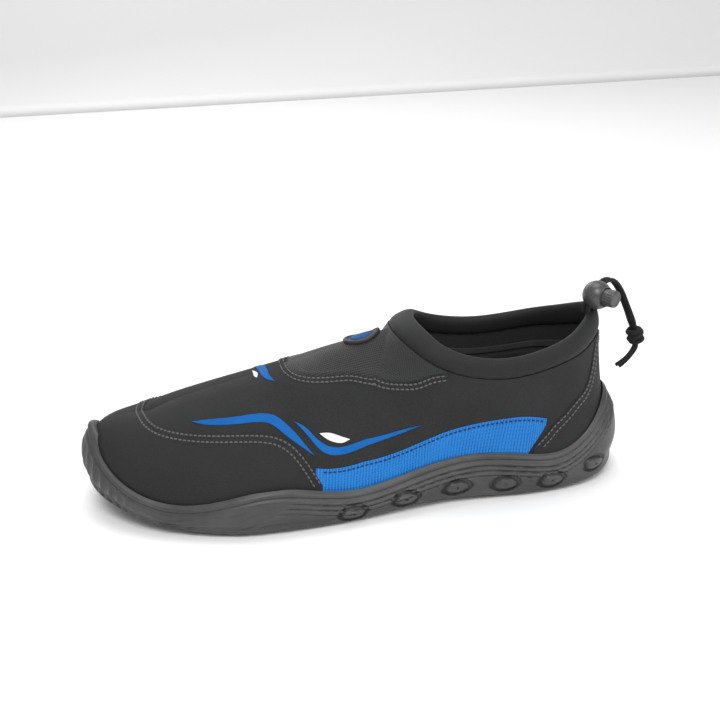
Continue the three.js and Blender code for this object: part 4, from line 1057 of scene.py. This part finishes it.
def outer_face(w, v):
    """The shell's outside, with the insert's seams and the creases of the empty shoe."""
    plain = skin(w, v)
    x, y, z = np.moveaxis(plain, -1, 0)
    seams = [curve_through(mirrored(INSERT_EDGE, side), 260) for side, _ in SIDES]
    seam = distances(plain, [skin(line[:, 0], line[:, 1]) for line in seams])
    out = UPPER_LIFT - SEAM_SINK * bell(seam, SEAM_BREADTH)
    out = out + WELT_PROUD * bell(seam - WELT_BESIDE, WELT_BREADTH)
    creases = 0.5 * np.sin(x / 5.3 + 1.3 * np.sin(y / 14.0))
    out = out + CREASE_HEIGHT * creases * bell(x - 2.0, 26.0) * smooth(0.55, 0.9, v)
    soft = np.sin(x / 17.0 + z / 9.0) * np.sin(x / 29.0 - y / 13.0)
    return skin_out(w, v, out + SWELL * soft * smooth(0.25, 0.5, v))


def inner_face(w, v):
    """The lining, with folds round the heel."""
    x, _, z = np.moveaxis(skin(w, v), -1, 0)
    folds = 0.5 + 0.5 * np.sin(z / 1.5 + x / 26.0)
    among = within(v, FOLDS_RISE, FOLDS_FALL) * (1 - smooth(*FOLDS_END, row_of(w)))
    return skin_out(w, v, -UPPER_WALL - FOLD_DEPTH * folds * among)


def upper_piece():
    """The shell: outer face, a turned top edge, and the lining inside."""
    columns = 560
    w = np.linspace(0, RING, columns, endpoint=False)
    outside = np.concatenate([np.linspace(0, 0.96, 84), [0.98, 0.99, 1.0]])
    inside = np.linspace(1, 0, 80)
    shares = np.append(outside, inside)
    rows = np.concatenate([outer_face(*np.meshgrid(w, outside)), inner_face(*np.meshgrid(w, inside))])
    quads, (k, j) = grid(len(rows), columns, closed_cols=True)
    uv = grid_uv((k, j), run_lengths(rows[:, 200]), ring_run(plan_point(turn_at(w))))
    # beyond the collar the two top rows meet on the ridge, so no face joins outside to lining there
    rim = len(outside) - 1
    here, beside = row_of(w[j]), row_of(w[(j + 1) % columns])
    keep = ~((k == rim) & (here >= FRONT) & (beside >= FRONT)).reshape(-1)
    shell = make("upper_shell", rows.reshape(-1, 3), quads[keep], uv=uv[keep], material=NEOPRENE,
                 slot="neoprene", replaces=["upper"], sharp=60)
    shell.data.materials.append(LINING)
    shell.data.materials.append(INSERT)
    in_insert = (here > INSERT_EDGE[-1][0]) & (here < INSERT_EDGE[0][0]) & (shares[k] > insert_edge(w[j]))
    index = np.where(k >= rim, 1, np.where(in_insert, 2, 0)).reshape(-1)[keep]
    shell.data.polygons.foreach_set("material_index", index.astype(np.int32))
    weld(shell, 1e-6)


upper_piece()


def edged(count, edge):
    """Shares across a sheet with its rounded border rows, and the share of the thickness at each."""
    inner = np.linspace(edge, 1 - edge, count)
    shares = np.concatenate([[0, 0, edge * 0.35], inner, [1 - edge * 0.35, 1, 1]])
    rise = np.concatenate([[0, 0.55, 0.9], np.ones(count), [0.9, 0.55, 0]])
    return shares, rise


def sheet_piece(name, place, counts, edges, base, thickness, material, ripple=0.0, **more):
    """A thin closed sheet on the upper with rounded edges: place(u, v) gives its (w, v)."""
    (us, rise_u), (vs, rise_v) = map(edged, counts, edges)
    rise = np.minimum.outer(rise_v, rise_u)
    w, v = place(*np.meshgrid(us, vs))
    x, y, z = np.moveaxis(skin(w, v), -1, 0)
    waves = np.sin(x / 8.0 + z / 6.0) * np.sin(y / 11.0)
    front = skin_out(w, v, base + thickness * rise + ripple * waves * (rise > 0.95))
    back = skin_out(w, v, base)
    quads, kj = grid(len(vs), len(us))
    if thickness < 0:
        quads = quads[:, ::-1]
    faces = np.vstack([quads, quads[:, ::-1] + len(vs) * len(us)])
    uv = grid_uv(kj, run_lengths(front[:, len(us) // 2]), run_lengths(front[len(vs) // 2]))
    piece = make(name, np.concatenate([front, back]).reshape(-1, 3), faces, uv=np.vstack([uv, uv[:, ::-1]]),
                 material=material, sharp=0, **more)
    weld(piece, 2e-6)


def tucked(from_w, to_w):
    """Share at which an overlay tucks behind the sole's lip, read off a table to save time."""
    w = np.linspace(from_w, to_w, 240)
    table = np.minimum(share_at(w, lip_height(turn_at(w)) - COVER_TUCK), near_share(w) - 0.02)
    return lambda at: np.interp(at, w, table)


def overlay(from_w, to_w, low, high):
    """Between two edges given as shares over w."""
    def place(u, v):
        w = from_w + (to_w - from_w) * u
        return w, low(w) * (1 - v) + high(w) * v
    return place


def between(low, high):
    """Between two lines with as many points."""
    spread = np.linspace(0, 1, len(low))

    def place(u, v):
        v = v[..., None]
        return np.moveaxis(sampled(u, spread, low) * (1 - v) + sampled(u, spread, high) * v, -1, 0)
    return place


def over_ridge(front, rear):
    """Between two lines in plan, laid over the instep's ridge."""
    plan = between(rear, front)
    return lambda u, v: ridge_place(*plan(u, v))


def cover_piece(name, from_w, to_w, high, counts, edges, replaces):
    """The toe cap or the heel counter."""
    sheet_piece(name, overlay(from_w, to_w, tucked(from_w, to_w), high), counts, edges, COVER_LIFT,
                COVER_THICKNESS, SYNTHETIC, COVER_RIPPLE, slot="synthetic_overlay", replaces=[replaces])


def panel_piece(side, tag):
    ends = PANEL_FROM, PANEL_TO
    from_w, to_w = ends if side > 0 else (RING - end for end in ends[::-1])
    hidden = tucked(from_w, to_w)

    def low(w):
        return np.maximum(hidden(w), np.where(row_of(w) < PANEL_REAR[-1][0], panel_rear(w), 0))
    sheet_piece(f"side_panel_{tag}_mesh", overlay(from_w, to_w, low, panel_top), (200, 40), (0.006, 0.03),
                PANEL_LIFT, PANEL_THICKNESS, BLUE_MESH, slot="blue_mesh", replaces=[f"side_panel_{tag}"])


def print_piece(name, place, count, material):
    sheet_piece(f"print_{name}", place, (count, 8), (0.01, 0.12), UPPER_LIFT + PRINT_LIFT, PRINT_THICKNESS,
                material)


cover_piece("toe_cap_cloth", CAP_FROM, RING - CAP_FROM, cap_top, (300, 60), (0.003, 0.014), "toe_cap")
cover_piece("heel_counter_cloth", RING - COUNTER_TO, RING + COUNTER_TO, counter_top, (180, 50),
            (0.005, 0.012), "heel_counter")
PRINTS = [
    ("wave_front", FRONT_WAVE, BLUE_PRINT), ("wave_rear", REAR_WAVE, BLUE_PRINT), ("leaf", LEAF, WHITE_PRINT),
]
for side, tag in SIDES:
    panel_piece(side, tag)
for side, tag in SIDES:
    for name, edges, material in PRINTS:
        high, low = (curve_through(mirrored(rows, side), 160) for rows in edges)
        print_piece(f"{name}_{tag}", between(low, high), 120, material)

# The figure over the instep, its front and its rear edge in plan millimetres
CREST = (
    [[50.0, -26.0], [48.6, -13.0], [47.6, -5.0], [46.9, 1.0], [44.6, 6.6], [40.9, 9.9]],
    [[50.0, -26.0], [45.2, -14.0], [43.4, -5.0], [43.2, 0.5], [42.6, 5.0], [40.9, 9.9]],
)
SPOT = (
    [[50.9, -9.0], [50.6, -4.5], [50.2, 0.0], [49.2, 1.6]],
    [[50.9, -9.0], [49.0, -6.0], [48.5, -2.0], [49.2, 1.6]],
)
for name, edges, material in (("crest", CREST, BLUE_PRINT), ("crest_spot", SPOT, WHITE_PRINT)):
    print_piece(name, over_ridge(*(through(rows, 120) for rows in edges)), 100, material)

TAPE_LOW, TAPE_HIGH, TAPE_REACH, TAPE_LIFT, TAPE_THICKNESS = 0.80, 0.86, 5.5, 0.15, 0.6
tape = overlay(RING - TAPE_REACH, RING + TAPE_REACH, lambda w: TAPE_LOW, lambda w: TAPE_HIGH)
sheet_piece("lining_tape", tape, (260, 10), (0.004, 0.12), -UPPER_WALL - TAPE_LIFT, -TAPE_THICKNESS, TAPE)

# Stitching
STITCH, STITCH_GAP, THREAD_RADIUS, THREAD_SIDES = 2.1, 0.3, 0.46, 6
STITCH_SHAPE = np.array([[0.25, -0.30], [0.8, -0.02], [1.0, 0.10], [1.0, 0.10], [0.8, -0.02], [0.25, -0.30]])
CAP_FACE, INSERT_FACE, PANEL_FACE = 0.95, UPPER_LIFT + 0.2, 0.72
CAP_SEAMS, INSERT_SEAMS, PANEL_SEAM = (0.8, 3.9), (0.9, 3.2), 1.7
CAP_TRIM, PANEL_TRIM = 5, 8


def stitch_row(name, wv, out, thread=THREAD):
    """One run of stitches along a line on the upper, each a short thread whose ends dip into the cloth."""
    line = skin_out(wv[:, 0], wv[:, 1], out)
    normals = normal(wv[:, 0], wv[:, 1])
    run = run_lengths(line)
    angles = np.linspace(0, 2 * math.pi, THREAD_SIDES, endpoint=False)[:, None]
    size, rise = STITCH_SHAPE[:, 0, None, None] * THREAD_RADIUS, STITCH_SHAPE[:, 1, None]
    steps = len(STITCH_SHAPE)
    quads, _ = grid(steps, THREAD_SIDES, closed_cols=True)
    first = list(range(THREAD_SIDES))
    last = [(steps - 1) * THREAD_SIDES + i for i in first[::-1]]
    rings, faces = [], []
    for n in range(int(run[-1] // (STITCH + STITCH_GAP))):
        places = STITCH_GAP / 2 + n * (STITCH + STITCH_GAP) + STITCH * np.linspace(0, 1, steps)
        middle, up = sampled(places, run, line), unit(sampled(places, run, normals))
        side = np.cross(unit(np.gradient(middle, axis=0)), up)
        round_it = np.cos(angles) * side[:, None] + np.sin(angles) * up[:, None]
        rings.append((middle + up * rise)[:, None] + size * round_it)
        base = n * steps * THREAD_SIDES
        faces += [[base + i for i in face] for face in (*quads.tolist(), first, last)]
    points = np.array(rings).reshape(-1, 3)
    uv = points[np.concatenate(faces)][:, [0, 2]]
    return make(name, points, faces, uv=uv, material=thread, sharp=0)


def lowered(wv, below):
    """A line of (w, v) moved down the face, in millimetres over the skin."""
    w, v, step = wv[:, 0], np.clip(wv[:, 1], 0.01, 0.99), 0.004
    by_w = (skin(w + step, v) - skin(w - step, v)) / (2 * step)
    by_v = (skin(w, v + step) - skin(w, v - step)) / (2 * step)
    move = np.cross(unit(np.gradient(skin(w, v), axis=0)), normal(w, v))
    a, b, c = (by_w * by_w).sum(-1), (by_w * by_v).sum(-1), (by_v * by_v).sum(-1)
    p, q = (move * by_w).sum(-1), (move * by_v).sum(-1)
    change = np.stack([p * c - q * b, a * q - b * p], -1) / (a * c - b * b)[:, None]
    down = -below if np.median(change[:, 1]) > 0 else below
    return np.stack([w, v], -1) + change * down


def top_edge(share, start, stop):
    """An overlay's top edge as (w, v), in even steps."""
    w = np.linspace(start, stop, 1500)
    line = np.stack([w, share(w)], -1)
    return evened(line, skin_run(line), 700)


COVER_EDGES = {
    "cap": top_edge(cap_top, CAP_FROM, RING - CAP_FROM),
    "counter": top_edge(counter_top, RING - COUNTER_TO, RING + COUNTER_TO),
}
for k, below in enumerate(CAP_SEAMS):
    for name, edge in COVER_EDGES.items():
        stitch_row(f"{name}_stitches_{k}", lowered(edge, below)[CAP_TRIM:-CAP_TRIM], CAP_FACE)
for side, tag in SIDES:
    seam = curve_through(mirrored(INSERT_EDGE, side), 500)
    for k, below in enumerate(INSERT_SEAMS):
        stitch_row(f"insert_stitches_{tag}_{k}", lowered(seam, below), INSERT_FACE)
    edge = mirrored(top_edge(panel_top, PANEL_FROM, PANEL_TO), side)
    line = lowered(edge, PANEL_SEAM)[PANEL_TRIM:-PANEL_TRIM]
    stitch_row(f"panel_stitches_{tag}", line, PANEL_FACE, DARK_THREAD)

# Badge
BADGE_LENGTH, BADGE_BREADTH, BADGE_PROUD, BADGE_LIFT = 19.0, 13.0, 1.9, 0.2
BADGE_PLACE = (-0.021 * SHOE_LENGTH, -0.045 * HALF)
BADGE_SIDES, CORE_FROM = 72, 9
# Share of the oval and share of the height, from the edge in; the core starts at row CORE_FROM
BADGE_PROFILE = [
    (1.0, 0.0), (1.0, 0.55), (0.985, 0.85), (0.95, 0.98), (0.88, 1.0), (0.81, 0.97), (0.77, 0.85),
    (0.75, 0.62), (0.70, 0.58), (0.62, 0.60), (0.60, 0.72), (0.55, 0.76), (0.35, 0.80), (0.12, 0.82),
]


def badge_piece():
    turn = -2 * math.pi * np.arange(BADGE_SIDES) / BADGE_SIDES
    share, height = np.transpose(BADGE_PROFILE)[..., None]
    w, v = ridge_place(BADGE_PLACE[0] + share * np.cos(turn) * BADGE_LENGTH / 2,
                       BADGE_PLACE[1] + share * np.sin(turn) * BADGE_BREADTH / 2)
    rows = skin_out(w, v, BADGE_LIFT + np.broadcast_to(height, w.shape) * BADGE_PROUD)
    quads, (k, _) = grid(len(rows), BADGE_SIDES, closed_cols=True)
    last = (len(rows) - 1) * BADGE_SIDES
    faces = [*quads[:, ::-1].tolist(), [last + i for i in range(BADGE_SIDES)]]
    piece = make("instep_badge_oval", rows.reshape(-1, 3), faces, material=BADGE, slot="badge_rubber",
                 replaces=["instep_badge"], sharp=0)
    piece.data.materials.append(BLUE_CORE)
    index = np.append(k.reshape(-1) >= CORE_FROM, True)
    piece.data.polygons.foreach_set("material_index", index.astype(np.int32))


badge_piece()

# Collar
PUCKER, PUCKER_RUN, ROLL_SIDES, ROLL_ROUND = 0.10, 1.15, 40, 26.0


def collar_piece():
    """Padded roll of stretch binding, with fine puckers along the seam under it."""
    side = np.linspace(0, FRONT, 240)
    around = np.concatenate([side, RING - side[1:-1][::-1]])
    low, high = edge_line(around), roll_line(around)
    tall = np.linalg.norm(high - low, axis=-1)
    up = unit(high - low)
    way = unit(roll_line(around + 0.02) - roll_line(around - 0.02))
    front = np.isclose(row_of(around), FRONT)
    way[front] = unit(np.roll(high, -1, 0) - np.roll(high, 1, 0))[front]
    out = unit(np.cross(up, way))
    middle = (low + high) / 2 + up * CLEARANCE / 2 - out * UPPER_WALL / 2
    run = ring_run(high)
    rows = []
    for turn in 2 * math.pi * np.arange(ROLL_SIDES) / ROLL_SIDES:
        rise = math.copysign(abs(math.cos(turn)) ** 0.8, -math.cos(turn))
        pucker = PUCKER * np.sin(run[:-1] / PUCKER_RUN) * max(0.0, -rise) ** 2
        half = (tall - CLEARANCE) / 2 + pucker
        thick = ROLL_THICKNESS / 2 * (1 + 0.03 * np.sin(run[:-1] / 21.0)) + pucker
        rows.append(middle + up * (rise * half)[:, None] + out * (math.sin(turn) * thick)[:, None])
    quads, kj = grid(ROLL_SIDES, len(around), closed_cols=True, closed_rows=True)
    uv = grid_uv(kj, np.linspace(0, ROLL_ROUND, ROLL_SIDES + 1), run)
    piece = make("collar_pad", np.vstack(rows), quads, uv=uv, material=BINDING, slot="collar_binding",
                 replaces=["collar_roll"], sharp=0)


collar_piece()

# Floor and light, in metres
FLOOR_HALF, FLOOR_NEAR, FLOOR_FAR, FLOOR_BEND, WALL_HEIGHT = 3.0, 3.0, -1.2, 0.5, 2.4
AIM = (0, 0, 0.04)


def stage():
    """A pale floor that bends up into a wall behind the shoe."""
    bend = [(FLOOR_FAR - FLOOR_BEND * math.sin(t), FLOOR_BEND * (1 - math.cos(t)))
            for t in np.linspace(0, math.pi / 2, 12)]
    # the bend's first point is doubled, which keeps the floor's shading flat up to it
    line = [(FLOOR_NEAR, 0.0), (FLOOR_FAR, 0.0), *bend, (FLOOR_FAR - FLOOR_BEND, WALL_HEIGHT)]
    points = [(x, y, z) for y, z in line for x in (-FLOOR_HALF, FLOOR_HALF)]
    faces = [(2 * i, 2 * i + 1, 2 * i + 3, 2 * i + 2) for i in range(len(line) - 1)]
    mesh = bpy.data.meshes.new("floor")
    mesh.from_pydata(points, [], faces)
    mesh.polygons.foreach_set("use_smooth", np.ones(len(faces), bool))
    floor = bpy.data.objects.new("floor", mesh)
    bpy.context.scene.collection.objects.link(floor)
    look = Look("pale_floor", grey(0.92), 0.9)
    look.colour(look.noise(3.0, 2.0), 0.0, grey(0.90), 1.0, grey(0.93))
    mesh.materials.append(look.material)


def area_light(name, place, size, power, target=AIM):
    data = bpy.data.lights.new(name, "AREA")
    data.shape, data.size, data.energy = "DISK", size, power
    light = bpy.data.objects.new(name, data)
    light.location = place
    light.rotation_euler = (Vector(target) - Vector(place)).to_track_quat("-Z", "Y").to_euler()
    bpy.context.scene.collection.objects.link(light)


stage()
area_light("key", (0.15, 0.85, 1.10), 0.7, 11)
area_light("fill", (-0.90, 0.85, 0.55), 0.9, 5)
area_light("top", (-0.05, -0.25, 1.30), 0.9, 7)
area_light("back", (0.2, -1.0, 0.7), 0.8, 3, (0, 0, 0.05))
world = bpy.data.worlds.new("studio")
bpy.context.scene.world = world
world.use_nodes = True
world.node_tree.nodes["Background"].inputs["Color"].default_value = (1, 1, 1, 1)
world.node_tree.nodes["Background"].inputs["Strength"].default_value = 0.5
bpy.context.scene.view_settings.view_transform = "Standard"
